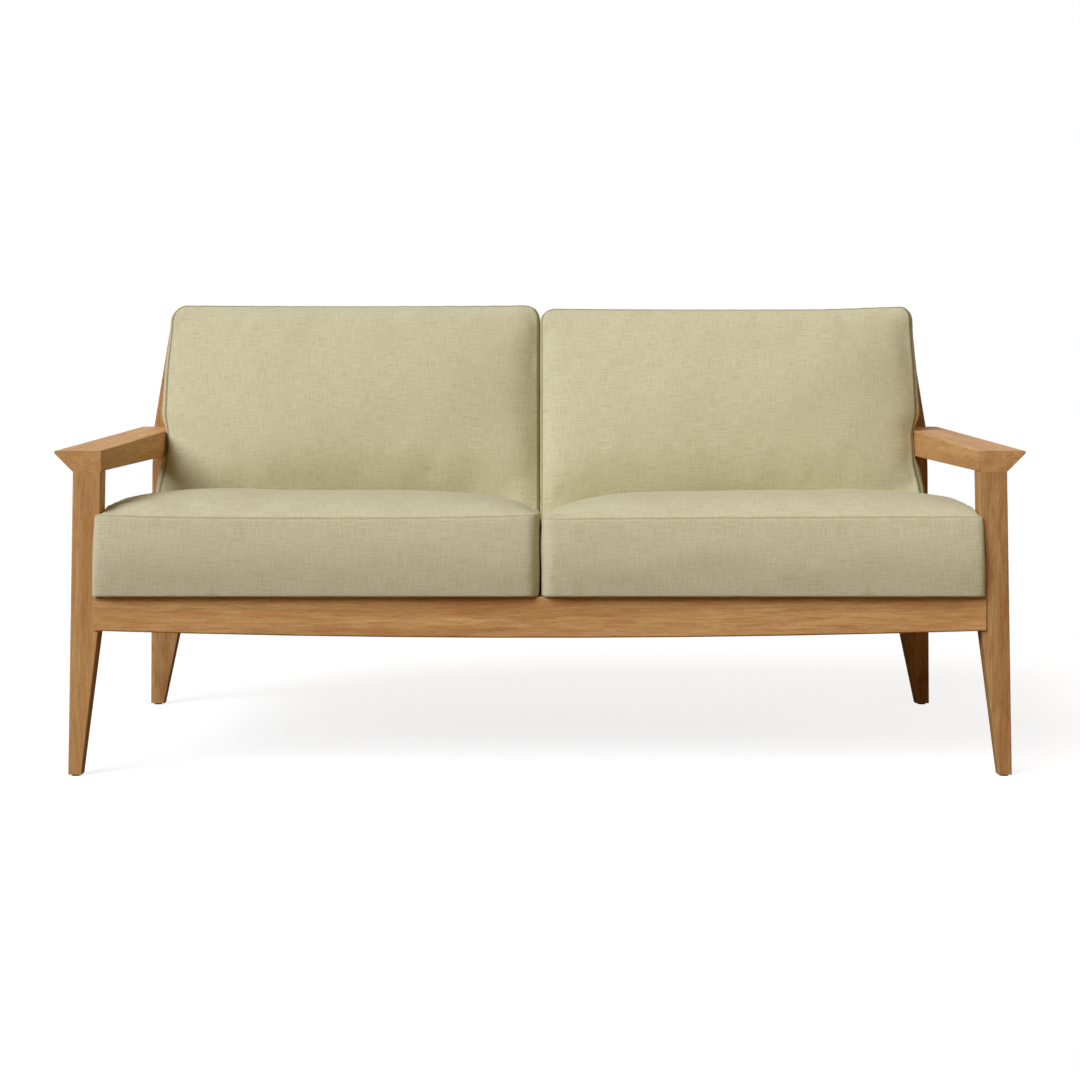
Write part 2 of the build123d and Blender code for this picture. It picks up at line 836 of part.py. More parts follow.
def build():
    """Every sub-part by name."""
    glides = foot_glides()
    bolts = [bolt(name) for name in bolt_places]
    nuts = [barrel_nut(name) for name in bolt_places]
    parts = {}
    parts.update(right_and_left("front_leg", front_leg()))
    parts.update(right_and_left("rear_leg", rear_leg()))
    parts.update(right_and_left("armrest", armrest()))
    parts.update(right_and_left("side_rail", side_rail()))
    parts["front_apron"] = front_apron()
    parts["rear_rail"] = rear_rail()
    parts["front_cleat"] = front_cleat()
    parts["rear_cleat"] = rear_cleat()
    parts["centre_stretcher"] = centre_stretcher()
    parts["back_rail_lower"] = back_rail(lower_back_rail_block(0.0), "lower")
    parts["back_rail_top"] = back_rail(top_back_rail_block(0.0), "top")
    parts.update(numbered("seat_slat", [seat_slat(x) for x in seat_slat_places()]))
    parts.update(numbered("back_slat", [back_slat(x, 0.0) for x in back_slat_places()]))
    parts["connector_bolts"] = both(Compound(bolts))
    parts["barrel_nuts"] = both(Compound(nuts))
    parts["foot_glides"] = both(Compound(glides))
    parts.update(right_and_left("seat_cushion_cover", seat_cover()))
    parts.update(right_and_left("seat_cushion_foam", seat_foam()))
    parts.update(right_and_left("back_cushion_cover", back_cover()))
    parts.update(right_and_left("back_cushion_foam", back_foam()))
    return parts


def centred(parts):
    """The same sub-parts, moved so that the whole stands over the origin."""
    box = Compound([solid for part in parts.values() for solid in part.solids()]).bounding_box()
    shift = Pos(-(box.min.X + box.max.X) / 2, -(box.min.Y + box.max.Y) / 2, -box.min.Z)
    return {name: shift * solid for name, solid in parts.items()}


os.makedirs("parts", exist_ok=True)
for part_name, part in centred(build()).items():
    export_step(part, "parts/" + part_name + ".step")
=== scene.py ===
import math

import bpy
import numpy as np
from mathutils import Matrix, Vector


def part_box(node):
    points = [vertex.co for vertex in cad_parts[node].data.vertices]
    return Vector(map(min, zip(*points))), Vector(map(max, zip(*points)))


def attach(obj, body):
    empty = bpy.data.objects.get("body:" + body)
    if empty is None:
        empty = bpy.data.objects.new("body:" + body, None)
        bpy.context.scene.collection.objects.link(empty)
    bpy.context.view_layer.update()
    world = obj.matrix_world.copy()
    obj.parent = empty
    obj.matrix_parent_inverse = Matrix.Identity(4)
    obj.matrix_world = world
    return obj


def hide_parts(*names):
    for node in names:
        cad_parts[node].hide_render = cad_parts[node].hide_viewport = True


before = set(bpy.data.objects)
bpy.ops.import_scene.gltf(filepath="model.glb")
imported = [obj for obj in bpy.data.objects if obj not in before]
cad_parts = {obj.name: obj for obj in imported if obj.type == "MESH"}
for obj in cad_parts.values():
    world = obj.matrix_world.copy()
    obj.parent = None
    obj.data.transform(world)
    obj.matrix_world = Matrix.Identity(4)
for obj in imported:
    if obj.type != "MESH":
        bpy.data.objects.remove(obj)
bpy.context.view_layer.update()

bl_info = {
    "name": "Patio loveseat",
    "version": (1, 0, 0),
    "blender": (4, 5, 0),
    "location": "View3D > Sidebar > Loveseat",
    "description": "Finishes of a hardwood patio loveseat, with its sewn seat and back cushions",
    "category": "Object",
}

# Units: metres. X runs along the seat, +Y from the front to the rear, +Z up from the floor.
# The pieces are drawn for the side at +X and mirrored for the side at -X.
MM = 0.001
SIDES = {"right": 1.0, "left": -1.0}

# Places taken from the frame
LEG_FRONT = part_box("front_leg_right")[0].y
ARM_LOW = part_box("armrest_right")[0]
ARM_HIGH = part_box("armrest_right")[1]
ARM_INNER = ARM_LOW.x
APRON_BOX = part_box("front_apron")

# Angles of the frame, in degrees
SEAT_TILT = 2.0
RECLINE = 15.0


def linear(code):
    """sRGB hex code as linear red, green and blue."""
    values = np.array([int(code[i : i + 2], 16) / 255 for i in (1, 3, 5)])
    curve = np.where(values <= 0.04045, values / 12.92, ((values + 0.055) / 1.055) ** 2.4)
    return tuple(float(v) for v in curve)


def rgba(color):
    """Colour property as the four numbers that a node socket takes."""
    return (*color[:3], 1.0)


def add(tree, kind, inputs=(), **settings):
    """Adds a shader node. Kind is its type without the leading word, and settings are its properties.
    Inputs fills its sockets, in their order or by name or number, with values, with sockets, or with
    nodes, which give their first output."""
    node = tree.nodes.new("ShaderNode" + kind)
    for key, value in settings.items():
        setattr(node, key, value)
    for name, value in inputs.items() if isinstance(inputs, dict) else enumerate(inputs):
        if isinstance(value, bpy.types.Node):
            value = value.outputs[0]
        if isinstance(value, bpy.types.NodeSocket):
            tree.links.new(value, node.inputs[name])
        else:
            node.inputs[name].default_value = value
    return node


def new_material(name):
    """Empty material with its output, and the tree that its nodes go into."""
    material = bpy.data.materials.new(name)
    material.use_nodes = True
    material.node_tree.nodes.clear()
    return material, material.node_tree


def finish_material(tree, shader):
    """Joins the shader to the material's output."""
    add(tree, "OutputMaterial", {"Surface": shader})


# Sockets of a colour mix: the share of the second colour, the two colours, and the result
MIX_SHARE, MIX_FIRST, MIX_SECOND, MIX_RESULT = 0, 6, 7, 2


def paint(tree, color, *coats, mode="MIX"):
    """Colours laid one over another: each coat is the share of it that shows, and its colour."""
    for share, coat in coats:
        inputs = {MIX_SHARE: share, MIX_FIRST: color, MIX_SECOND: coat}
        color = add(tree, "Mix", inputs, data_type="RGBA", blend_type=mode).outputs[MIX_RESULT]
    return color


def darken(tree, color, shade):
    """Colour times a shade."""
    return paint(tree, color, (1.0, shade), mode="MULTIPLY")


def ripples(tree, value, spacing):
    """Sine wave along a value, one turn to each spacing."""
    turns = add(tree, "Math", (value, 2 * math.pi / spacing), operation="MULTIPLY")
    return add(tree, "Math", (turns,), operation="SINE")


def streaks(tree, place, across, along, detail=2.0, roughness=0.5):
    """Noise stretched along the third axis: across and along are its sizes in metres."""
    scale = (1 / across, 1 / across, 1 / along)
    scaled = add(tree, "VectorMath", (place, scale), operation="MULTIPLY")
    look = {"Vector": scaled, "Scale": 1.0, "Detail": detail, "Roughness": roughness}
    return add(tree, "TexNoise", look)


def color_setting(name, description, code):
    """Colour of a property group, which starts as an sRGB hex code."""
    return bpy.props.FloatVectorProperty(
        name=name, description=description, subtype="COLOR", size=3, min=0, max=1, default=linear(code)
    )


def length_setting(name, description, default):
    """Length of a property group, in metres."""
    return bpy.props.FloatProperty(name=name, description=description, unit="LENGTH", default=default)


class LoveseatTimber(bpy.types.PropertyGroup):
    """Finish of the boards."""

    light: color_setting("Light wood", "Early wood between the rings", "#D6A96F")
    dark: color_setting("Dark wood", "Late wood of the rings", "#B2804A")
    red: color_setting("Red streaks", "Reddish streaks along the grain", "#A55B2B")
    ring: length_setting("Ring width", "Spacing of the growth rings", 5.5 * MM)


class LoveseatFabric(bpy.types.PropertyGroup):
    """Finish of the cushion covers."""

    base: color_setting("Linen", "Middle colour of the yarns", "#CFC8A3")
    pale: color_setting("Pale yarn", "Pale slubs", "#DAD4B2")
    dark: color_setting("Dark yarn", "Dark slubs", "#BBB386")
    thread: length_setting("Thread", "Spacing of the yarns, drawn coarse enough to show", 1.3 * MM)


class LoveseatCushions(bpy.types.PropertyGroup):
    """Form of the cushions."""

    seat_crown: length_setting("Seat crown", "Rise of the seat cushion above its seam", 43 * MM)
    back_crown: length_setting("Back crown", "Rise of the back cushion in front of its seam", 62 * MM)
    seat_seam: length_setting("Seat seam", "How far the seat cushions' seams are drawn in", 1.2 * MM)
    back_seam: length_setting("Back seam", "How far the back cushions' seams are drawn in", 2.2 * MM)


class LoveseatStage(bpy.types.PropertyGroup):
    """Camera and light."""

    distance: length_setting("Camera distance", "From the camera to the front of the legs", 3.4)
    height: length_setting("Camera height", "Height of the camera above the floor", 0.696)
    horizon: bpy.props.FloatProperty(
        name="Horizon", description="Height of the horizon in the photograph, in its pixels from the top",
        default=367.0,
    )


def board_material(name, grain, place, tone=0.0, blush_share=0.4, lean=0.0):
    """Oiled teak-like hardwood, planed and sanded: warm brown with fine lines and red streaks along
    each board, arcs on end grain, and a soft sheen that breaks up in the open pores.

    Rings are the distance from a pith line that runs along the grain; place is a point on it,
    grain is X, Y or Z, lean turns the line about X in degrees, tone lightens or darkens, and
    blush_share is how red the red streaks are."""
    wood = bpy.context.scene.loveseat_timber
    turn = {"X": (0, math.pi / 2, 0), "Y": (-math.pi / 2, 0, 0), "Z": (0, 0, 0)}[grain]
    turn = (turn[0] - math.radians(lean), *turn[1:])
    material, tree = new_material(name)
    where = add(tree, "TexCoord").outputs["Object"]
    line = {"Vector": where, "Location": place, "Rotation": turn}
    own = add(tree, "Mapping", line, vector_type="TEXTURE")

    # Patterns, with their sizes across and along the grain
    sway = streaks(tree, own, 60 * MM, 420 * MM, detail=1.0)
    ripple = streaks(tree, own, 9 * MM, 160 * MM)
    broad = streaks(tree, own, 22 * MM, 500 * MM)
    fibre = streaks(tree, own, 1.7 * MM, 45 * MM, detail=3.0)
    pore = streaks(tree, own, 1.3 * MM, 11 * MM, detail=1.0)
    fleck = streaks(tree, own, 1.8 * MM, 42 * MM, detail=5.0, roughness=0.7)
    flame = streaks(tree, own, 9 * MM, 80 * MM, detail=4.0, roughness=0.62)

    # Rings: the distance from the pith counted in rings and bent by sway and ripple, whose depths
    # are in rings too. The crest of each ring is late wood.
    flat = add(tree, "VectorMath", (own, (1, 1, 0)), operation="MULTIPLY")
    reach = add(tree, "VectorMath", (flat,), operation="LENGTH").outputs["Value"]
    rings = add(tree, "Math", (reach, wood.ring), operation="DIVIDE")
    for bend, depth in ((sway, 5.0), (ripple, 1.4)):
        rings = add(tree, "Math", (bend, depth, rings), operation="MULTIPLY_ADD")
    late = add(tree, "MapRange", (ripples(tree, rings, 1.0), 0.1, 1.0))

    # Colour: broad bands, late wood and red streaks over the light wood, shaded by fibres and pores
    bands = add(tree, "MapRange", (broad, 0.3, 0.7, 0.1, 0.75))
    blush = add(tree, "MapRange", (flame, 0.44, 0.70))
    late_share = add(tree, "Math", (late, 0.30), operation="MULTIPLY")
    red_share = add(tree, "Math", (blush, blush_share), operation="MULTIPLY")
    dark, red = rgba(wood.dark), rgba(wood.red)
    color = paint(tree, rgba(wood.light), (bands, dark), (late_share, dark), (red_share, red))
    fine = add(tree, "MapRange", (fibre, 0.2, 0.8, 0.86 + tone, 1.12 + tone))
    specks = add(tree, "MapRange", (fleck, 0.3, 0.7, 0.83, 1.14))
    pores = add(tree, "MapRange", (pore, 0.60, 0.74))
    shade = add(tree, "Math", (fine, specks), operation="MULTIPLY")
    shade = add(tree, "Math", (pores, -0.24, shade), operation="MULTIPLY_ADD")
    color = darken(tree, color, add(tree, "CombineColor", (shade, shade, shade)))

    height = add(tree, "Math", (pores, -1.0, fibre), operation="MULTIPLY_ADD")
    shader = add(
        tree,
        "BsdfPrincipled",
        {
            "Base Color": color,
            "Roughness": add(tree, "MapRange", (fibre, 0.2, 0.8, 0.48, 0.64)),
            "Specular IOR Level": 0.12,
            "Normal": add(tree, "Bump", {"Height": height, "Distance": 0.25 * MM, "Strength": 0.5}),
        },
    )
    finish_material(tree, shader)
    return material


# Slubs of the linen: their width and length in threads, and an offset that parts the two patterns
SLUBS = ((0.75, 34.0, 0.0), (1.3, 18.0, 7.0))
WARP_SHARE = 0.22
WEFT_SHARE = 0.28
PATCH_SHARE = 0.05
PATCHES_PER_METRE = 14.0

# Painted shade in the seams, which turns warmer as it deepens, as light between two cloths does: how far
# from the seam it stays at its darkest, and its powers in red, green and blue
SEAM_SHADE_START = 0.6 * MM
SEAM_SHADE_POWERS = (1.0, 1.1, 1.45)

# Zip: half widths of its tape and coil, their soft edge, and the spacing of the teeth
ZIP_TAPE = 7.0 * MM
ZIP_COIL = 2.2 * MM
ZIP_EDGE = 0.6 * MM
ZIP_TOOTH = 3 * MM


def linen_material(name, share, reach):
    """Woven linen-look outdoor cloth: matt, pale stone green, with slubs along warp and weft, which
    shows its slubs more.

    It reads the UV map, in metres along the two threads. The real yarn is about 0.6 mm and is drawn
    coarser, so that it shows. At its seams the cloth is darkened by painted shade: share of its own
    tone, up to reach.
    The zip attribute is the distance to the zip's middle: a tape, and a coil of teeth on it."""
    cloth = bpy.context.scene.loveseat_fabric
    material, tree = new_material(name)
    uv = add(tree, "UVMap", uv_map="UVMap")
    axes = add(tree, "SeparateXYZ", (uv,)).outputs

    # Tone: slubs of the warp, then of the weft, and broad patches; 0.5 is the middle
    yarns = []
    for across, along in ((0, 1), (1, 0)):
        for width, length, offset in SLUBS:
            scale = [1.0, 1.0, 1.0]
            scale[across] = 1 / (cloth.thread * width)
            scale[along] = 1 / (cloth.thread * length)
            place = {"Vector": uv, "Scale": scale, "Location": (offset, offset, offset)}
            scaled = add(tree, "Mapping", place)
            yarns.append(add(tree, "TexNoise", {"Vector": scaled, "Scale": 1.0, "Detail": 2.0}))
    warp = add(tree, "Math", yarns[:2], operation="ADD")
    weft = add(tree, "Math", yarns[2:], operation="ADD")
    warp = add(tree, "Math", (warp, WARP_SHARE), operation="MULTIPLY")
    mix = add(tree, "Math", (weft, WEFT_SHARE, warp), operation="MULTIPLY_ADD")
    mix = add(tree, "Math", (mix, PATCH_SHARE / 2), operation="SUBTRACT")
    patch = add(tree, "TexNoise", {"Vector": uv, "Scale": PATCHES_PER_METRE, "Detail": 2.0})
    mix = add(tree, "Math", (patch, PATCH_SHARE, mix), operation="MULTIPLY_ADD")
    pale = add(tree, "MapRange", (mix, 0.50, 0.64))
    deep = add(tree, "MapRange", (mix, 0.50, 0.36))
    color = paint(tree, rgba(cloth.base), (pale, rgba(cloth.pale)), (deep, rgba(cloth.dark)))

    # Painted shade, darker and warmer into the seams
    seam = add(tree, "Attribute", attribute_name="seam").outputs["Fac"]
    fade = add(tree, "MapRange", (seam, SEAM_SHADE_START, reach, share, 1.0))
    channels = [add(tree, "Math", (fade, power), operation="POWER") for power in SEAM_SHADE_POWERS]
    color = darken(tree, color, add(tree, "CombineColor", channels))

    # Zip: teeth across the coil, on the tape
    zip_line = add(tree, "Attribute", attribute_name="zip").outputs["Fac"]
    tape = add(tree, "MapRange", (zip_line, ZIP_TAPE, ZIP_TAPE + ZIP_EDGE, 1.0, 0.0))
    coil = add(tree, "MapRange", (zip_line, ZIP_COIL, ZIP_COIL + ZIP_EDGE, 1.0, 0.0))
    tooth = add(tree, "Math", (ripples(tree, axes["X"], ZIP_TOOTH), 0.5, 0.5), operation="MULTIPLY_ADD")
    teeth = add(tree, "Math", (coil, tooth), operation="MULTIPLY")
    color = paint(tree, color, (tape, rgba(linear("#A39C74"))), (teeth, rgba(linear("#6E6848"))))

    # Relief: slubs, the plain weave and the teeth
    waves = [ripples(tree, axes[axis], cloth.thread) for axis in ("X", "Y")]
    weave = add(tree, "Math", waves, operation="MULTIPLY")
    height = add(tree, "Math", (weave, 0.25, mix), operation="MULTIPLY_ADD")
    height = add(tree, "Math", (teeth, 1.5, height), operation="MULTIPLY_ADD")
    shader = add(
        tree,
        "BsdfPrincipled",
        {
            "Base Color": color,
            "Roughness": add(tree, "MapRange", (mix, 0.4, 0.6, 0.86, 0.95)),
            "Specular IOR Level": 0.05,
            "Sheen Weight": 0.10,
            "Sheen Roughness": 0.5,
            "Normal": add(tree, "Bump", {"Height": height, "Distance": 0.8 * MM, "Strength": 0.4}),
        },
    )
    finish_material(tree, shader)
    return material


def spread(count, ends):
    """count + 1 values from -1 to 1: a mix of t and sin(pi t / 2), so the steps shorten to the ends."""
    t = np.linspace(-1.0, 1.0, count + 1)
    return (1 - ends) * t + ends * np.sin(np.pi * t / 2)


def rounded(x, y, half_x, half_y, radii):
    """Rectangle grid pressed into round corners: in each corner square a point q from the corner's
    centre goes to q max(qx, qy) / |q|, which turns the square's rings into quarter circles.
    The four radii are those of the corners at -x -y, +x -y, -x +y and +x +y."""
    radius = np.array(radii)[(x > 0) + 2 * (y > 0)]
    qx = np.abs(x) - (half_x - radius)
    qy = np.abs(y) - (half_y - radius)
    corner = (qx > 0) & (qy > 0)
    ratio = np.where(corner, np.maximum(qx, qy) / np.maximum(np.hypot(qx, qy), 1e-9), 1.0)
    new_x = np.where(corner, half_x - radius + qx * ratio, np.abs(x))
    new_y = np.where(corner, half_y - radius + qy * ratio, np.abs(y))
    return np.copysign(new_x, x), np.copysign(new_y, y)


def quads(grid):
    """Each cell of a grid as its four corners, counter-clockwise where rows run up."""
    return np.stack([grid[:-1, :-1], grid[:-1, 1:], grid[1:, 1:], grid[1:, :-1]], -1)


def edge_of(grid):
    """Outer ring of a grid, counter-clockwise from its first corner."""
    return np.concatenate([grid[0, :-1], grid[:-1, -1], grid[-1, :0:-1], grid[:0:-1, 0]])


def new_mesh_object(name, points, faces, uv=None, **attributes):
    """Mesh object at the origin, smooth, with its UV map by corner and its point attributes."""
    mesh = bpy.data.meshes.new(name)
    mesh.from_pydata(points, [], faces)
    mesh.polygons.foreach_set("use_smooth", np.ones(len(mesh.polygons), bool))
    if uv is not None:
        mesh.uv_layers.new(name="UVMap").data.foreach_set("uv", np.asarray(uv, np.float32).ravel())
    for key, values in attributes.items():
        mesh.attributes.new(key, "FLOAT", "POINT").data.foreach_set("value", values.astype(np.float32))
    mesh.update()
    piece = bpy.data.objects.new(name, mesh)
    bpy.context.scene.collection.objects.link(piece)
    return piece


def points_of(mesh):
    """Vertex places of a mesh as an array."""
    values = np.empty(len(mesh.vertices) * 3, np.float32)
    mesh.vertices.foreach_get("co", values)
    return values.reshape(-1, 3).astype(float)


def normals_of(mesh):
    """Vertex normals of a mesh as an array."""
    values = np.empty(len(mesh.vertices) * 3, np.float32)
    mesh.vertex_normals.foreach_get("vector", values)
    return values.reshape(-1, 3).astype(float)


def smooth_step(value, low, high):
    """0 below low, 1 above high, and 3t^2 - 2t^3 between."""
    t = np.clip((value - low) / (high - low), 0.0, 1.0)
    return t * t * (3 - 2 * t)


# How far the steps of a cushion's grid shorten towards its seams: 0 is even, 1 is a sine
PANEL_CROWDING = 0.7
BOXING_CROWDING = 0.55


class BoxedForm:
    """Grid of a boxed cushion: an upper panel, a lower panel and rings of boxing between them.

    x and y are the places in the panel's plane, t runs from 0 at the lower seam to 1 at the upper
    one, side is 1 on the boxing, out points outwards there, and inset is the distance to the panel's
    border. near is the distance to the nearest seam, and seam is the same with the soften length
    added at the lower seam, which shows less."""

    def __init__(self, half_x, half_y, radii, low, high, counts, soften):
        count_x, count_y, count_z = counts
        columns, rows = count_x + 1, count_y + 1
        self.half_x, self.half_y, self.low, self.high = half_x, half_y, low, high
        sheet = rows * columns
        upper = np.arange(sheet).reshape(rows, columns)
        lower = upper + sheet
        around = len(edge_of(upper))
        middle = 2 * sheet + np.arange((count_z - 1) * around).reshape(-1, around)
        rings = np.vstack([edge_of(lower), middle, edge_of(upper)])
        steps_x, steps_y = (spread(count, PANEL_CROWDING) for count in (count_x, count_y))
        flat_x, flat_y = np.meshgrid(half_x * steps_x, half_y * steps_y)
        round_x, round_y = rounded(flat_x, flat_y, half_x, half_y, radii)
        edge_x, edge_y = edge_of(round_x), edge_of(round_y)
        level = (spread(count_z, BOXING_CROWDING) + 1) / 2
        ring_x, ring_y = (np.tile(v, (count_z - 1, 1)) for v in (edge_x, edge_y))
        self.x = np.concatenate([round_x.ravel(), round_x.ravel(), ring_x.ravel()])
        self.y = np.concatenate([round_y.ravel(), round_y.ravel(), ring_y.ravel()])
        ring_t = np.repeat(level[1:-1], around)
        self.t = np.concatenate([np.ones(sheet), np.zeros(sheet), ring_t])
        inset = np.minimum(half_x - np.abs(flat_x), half_y - np.abs(flat_y)).ravel()
        self.inset = np.concatenate([inset, inset, np.zeros(len(ring_t))])
        self.side = np.concatenate([np.zeros(2 * sheet), np.ones(len(ring_t))])
        height = high - low
        rise = np.minimum(self.t * height + soften, (1 - self.t) * height)
        flat = self.inset + soften * (self.t == 0)
        self.seam = np.where(self.side > 0, rise, flat)
        self.near = np.minimum(self.seam, np.where(self.side > 0, self.t * height, self.inset))
        run = np.hypot(np.diff(edge_x, append=edge_x[0]), np.diff(edge_y, append=edge_y[0]))
        along = np.concatenate([[0.0], np.cumsum(run)])
        ahead = np.stack([np.roll(v, -1) - np.roll(v, 1) for v in (edge_x, edge_y)], -1)
        ahead /= np.linalg.norm(ahead, axis=1)[:, None]
        out = np.stack([ahead[:, 1], -ahead[:, 0]], -1)
        self.out = np.zeros((len(self.x), 2))
        self.out[2 * sheet :] = np.tile(out, (count_z - 1, 1))
        faces = [quads(upper), quads(lower)[..., ::-1], quads(np.hstack([rings, rings[:, :1]]))]
        self.faces = np.concatenate([f.reshape(-1, 4) for f in faces])
        run_grid, level_grid = np.meshgrid(along, low + height * level)
        uv = [
            np.stack([quads(round_x), quads(round_y)], -1),
            np.stack([quads(round_x)[..., ::-1], quads(round_y)[..., ::-1]], -1),
            np.stack([quads(run_grid), quads(level_grid)], -1),
        ]
        self.uv = np.concatenate([u.reshape(-1, 2) for u in uv])
        self.is_lower = (self.side == 0) & (self.t == 0)


def edge_rise(distance, quick_share, quick_reach, reach):
    """Crown from 0 at a side to 1 inside: two parabolas 1 - (1 - d / reach)^2, added by their share."""
    quick = 1 - (1 - np.clip(distance / quick_reach, 0, 1)) ** 2
    slow = 1 - (1 - np.clip(distance / reach, 0, 1)) ** 2
    return quick_share * quick + (1 - quick_share) * slow


# Cloth run: the random slack that starts the folds, the pressure, the most that a point may move, and
# the frames. The fine movement is smoothed a little, and the swell that is taken off it a lot.
CLOTH_SLACK = 0.8 * MM
CLOTH_PRESSURE = 4.0
CLOTH_REACH = 26 * MM
CLOTH_FRAMES = 20
FINE_PASSES = 2
SWELL_PASSES = 30


def smoothed(values, pairs, counts, passes):
    """Each point's values replaced by the mean of its neighbours along the mesh's edges, in passes."""
    for _ in range(passes):
        total = np.zeros_like(values)
        for axis in range(values.shape[1]):
            for a, b in ((0, 1), (1, 0)):
                total[:, axis] += np.bincount(pairs[:, a], values[pairs[:, b], axis], len(values))
        values = total / counts[:, None]
    return values


def inflate(piece, form):
    """Cloth under pressure with its seams held: how far each point moves, up to the reach."""
    scene = bpy.context.scene
    start = points_of(piece.data)
    held = np.nonzero(form.near < 1 * MM)[0]
    group = piece.vertex_groups.new(name="seams")
    group.add(held.tolist(), 1.0, "REPLACE")
    cloth = piece.modifiers.new("Cloth", "CLOTH")
    cloth.settings.quality = 4
    cloth.settings.mass = 0.25
    cloth.settings.use_pressure = True
    cloth.settings.uniform_pressure_force = CLOTH_PRESSURE
    cloth.settings.tension_stiffness = 12
    cloth.settings.compression_stiffness = 12
    cloth.settings.shear_stiffness = 4
    cloth.settings.bending_stiffness = 0.1
    cloth.settings.shrink_min = -0.03
    cloth.settings.vertex_group_mass = "seams"
    cloth.settings.effector_weights.gravity = 0
    cloth.point_cache.frame_start, cloth.point_cache.frame_end = 1, CLOTH_FRAMES
    for number in range(1, CLOTH_FRAMES + 1):
        scene.frame_set(number)
    ready = piece.evaluated_get(bpy.context.evaluated_depsgraph_get())
    moved = points_of(ready.data) - start
    piece.modifiers.remove(cloth)
    piece.vertex_groups.remove(group)
    scene.frame_set(1)
    length = np.linalg.norm(moved, axis=1)
    return moved * np.minimum(1.0, CLOTH_REACH / np.maximum(length, 1e-9))[:, None]


def wrinkles(piece, form, seed):
    """Folds that the cloth makes under pressure: its movement less the smooth swell of the panels."""
    slack = np.random.default_rng(seed).normal(0.0, CLOTH_SLACK, (len(form.x), 3))
    start = points_of(piece.data)
    piece.data.vertices.foreach_set("co", (start + slack).astype(np.float32).ravel())
    moved = inflate(piece, form)
    edges = np.empty(len(piece.data.edges) * 2, np.int32)
    piece.data.edges.foreach_get("vertices", edges)
    pairs = edges.reshape(-1, 2)
    counts = np.bincount(pairs.ravel(), minlength=len(start)).astype(float)
    fine = smoothed(moved + slack, pairs, counts, FINE_PASSES)
    piece.data.vertices.foreach_set("co", start.astype(np.float32).ravel())
    return fine - smoothed(fine, pairs, counts, SWELL_PASSES)


# Lie of the fabric: how many waves, ridges and puckers it has and how deep the waves and puckers
# are. The first ridges stand near the ends of a side, the others anywhere along it.
WAVES, WAVE_DEPTH = 14, 0.38 * MM
RIDGES, END_RIDGES = 26, 16
PUCKERS, PUCKER_DEPTH = 7, 0.42 * MM
BOXING_WAVES = 0.25


def ease(form, seed):
    """How the fabric lies off its smooth form, along its normals: broad waves over the panels, ridges
    exp(-(across / width)^2 - (along / length)^2) that run in from the seams, and small puckers, sines
    along the seam that die away from it."""
    random = np.random.default_rng(seed)
    half = np.array([form.half_x, form.half_y])
    place = np.stack([form.x, form.y], -1)
    rise = np.zeros(len(form.x))
    for _ in range(WAVES):
        angle, phase = random.uniform(0, 2 * np.pi, 2)
        length = random.uniform(0.15, 0.34)
        turn = place @ (np.cos(angle), np.sin(angle)) + 0.4 * form.t
        rise += WAVE_DEPTH * np.sin(2 * np.pi * turn / length + phase)
    for number in range(RIDGES):
        edge = number % 4
        along_x = edge < 2
        if number < END_RIDGES:
            share = random.uniform(0.55, 0.98) * random.choice((-1, 1))
        else:
            share = random.uniform(-0.9, 0.9)
        inward = random.uniform(8, 45) * MM
        sign = 1 - 2 * (edge % 2)
        middle = (share, sign) if along_x else (sign, share)
        middle = np.array(middle) * (half - inward)
        angle = (np.pi / 2 if along_x else 0.0) + random.uniform(-0.75, 0.75)
        ahead = place - middle
        along = ahead @ (np.cos(angle), np.sin(angle))
        across = ahead @ (-np.sin(angle), np.cos(angle))
        width, length = random.uniform(6, 12) * MM, random.uniform(26, 60) * MM
        depth = random.uniform(0.7, 1.7) * MM * random.choice((-1, 1))
        rise += depth * np.exp(-((across / width) ** 2) - (along / length) ** 2) * (form.side == 0)
    near_end = form.half_y - np.abs(form.y) < form.half_x - np.abs(form.x)
    run = np.where(near_end, form.x, form.y)
    pucker = np.zeros(len(run))
    for _ in range(PUCKERS):
        length, phase = random.uniform(20, 52) * MM, random.uniform(0, 2 * np.pi)
        pucker += np.sin(2 * np.pi * run / length + phase + 3 * near_end)
    fall = np.exp(-form.near / (13 * MM)) * (1 - np.exp(-form.near / (3 * MM)))
    rise = rise * smooth_step(form.near, 0.0, 30 * MM) * np.where(form.side > 0, BOXING_WAVES, 1.0)
    return rise + PUCKER_DEPTH * pucker * fall


def set_points(piece, points):
    """Writes vertex places into a piece."""
    piece.data.vertices.foreach_set("co", np.asarray(points, np.float32).ravel())
    piece.data.update()


def crease_seams(piece, form):
    """Keeps the edges along the seams fairly sharp when the piece is subdivided."""
    mesh = piece.data
    ends = np.empty(len(mesh.edges) * 2, np.int32)
    mesh.edges.foreach_get("vertices", ends)
    on_seam = np.all(form.near[ends.reshape(-1, 2)] < 0.1 * MM, axis=1)
    crease = on_seam * np.float32(SEAM_CREASE)
    mesh.attributes.new("crease_edge", "FLOAT", "EDGE").data.foreach_set("value", crease)


def subdivide(piece):
    """Applies one subdivision, which keeps the UV map and the attributes."""
    level = piece.modifiers.new("Subdivision", "SUBSURF")
    level.levels = level.render_levels = 1
    level.boundary_smooth = "PRESERVE_CORNERS"
    ready = piece.evaluated_get(bpy.context.evaluated_depsgraph_get())
    mesh = bpy.data.meshes.new_from_object(ready)
    piece.modifiers.remove(level)
    old = piece.data
    piece.data = mesh
    bpy.data.meshes.remove(old)
    mesh.name = piece.name


def draw_seams(piece, depth, width):
    """Pulls the cloth in at its seams: a Gaussian groove along the distance to the nearest seam."""
    mesh = piece.data
    distance = np.empty(len(mesh.vertices), np.float32)
    mesh.attributes["seam"].data.foreach_get("value", distance)
    groove = depth * np.exp(-((distance / width) ** 2))
    set_points(piece, points_of(mesh) - normals_of(mesh) * groove[:, None])


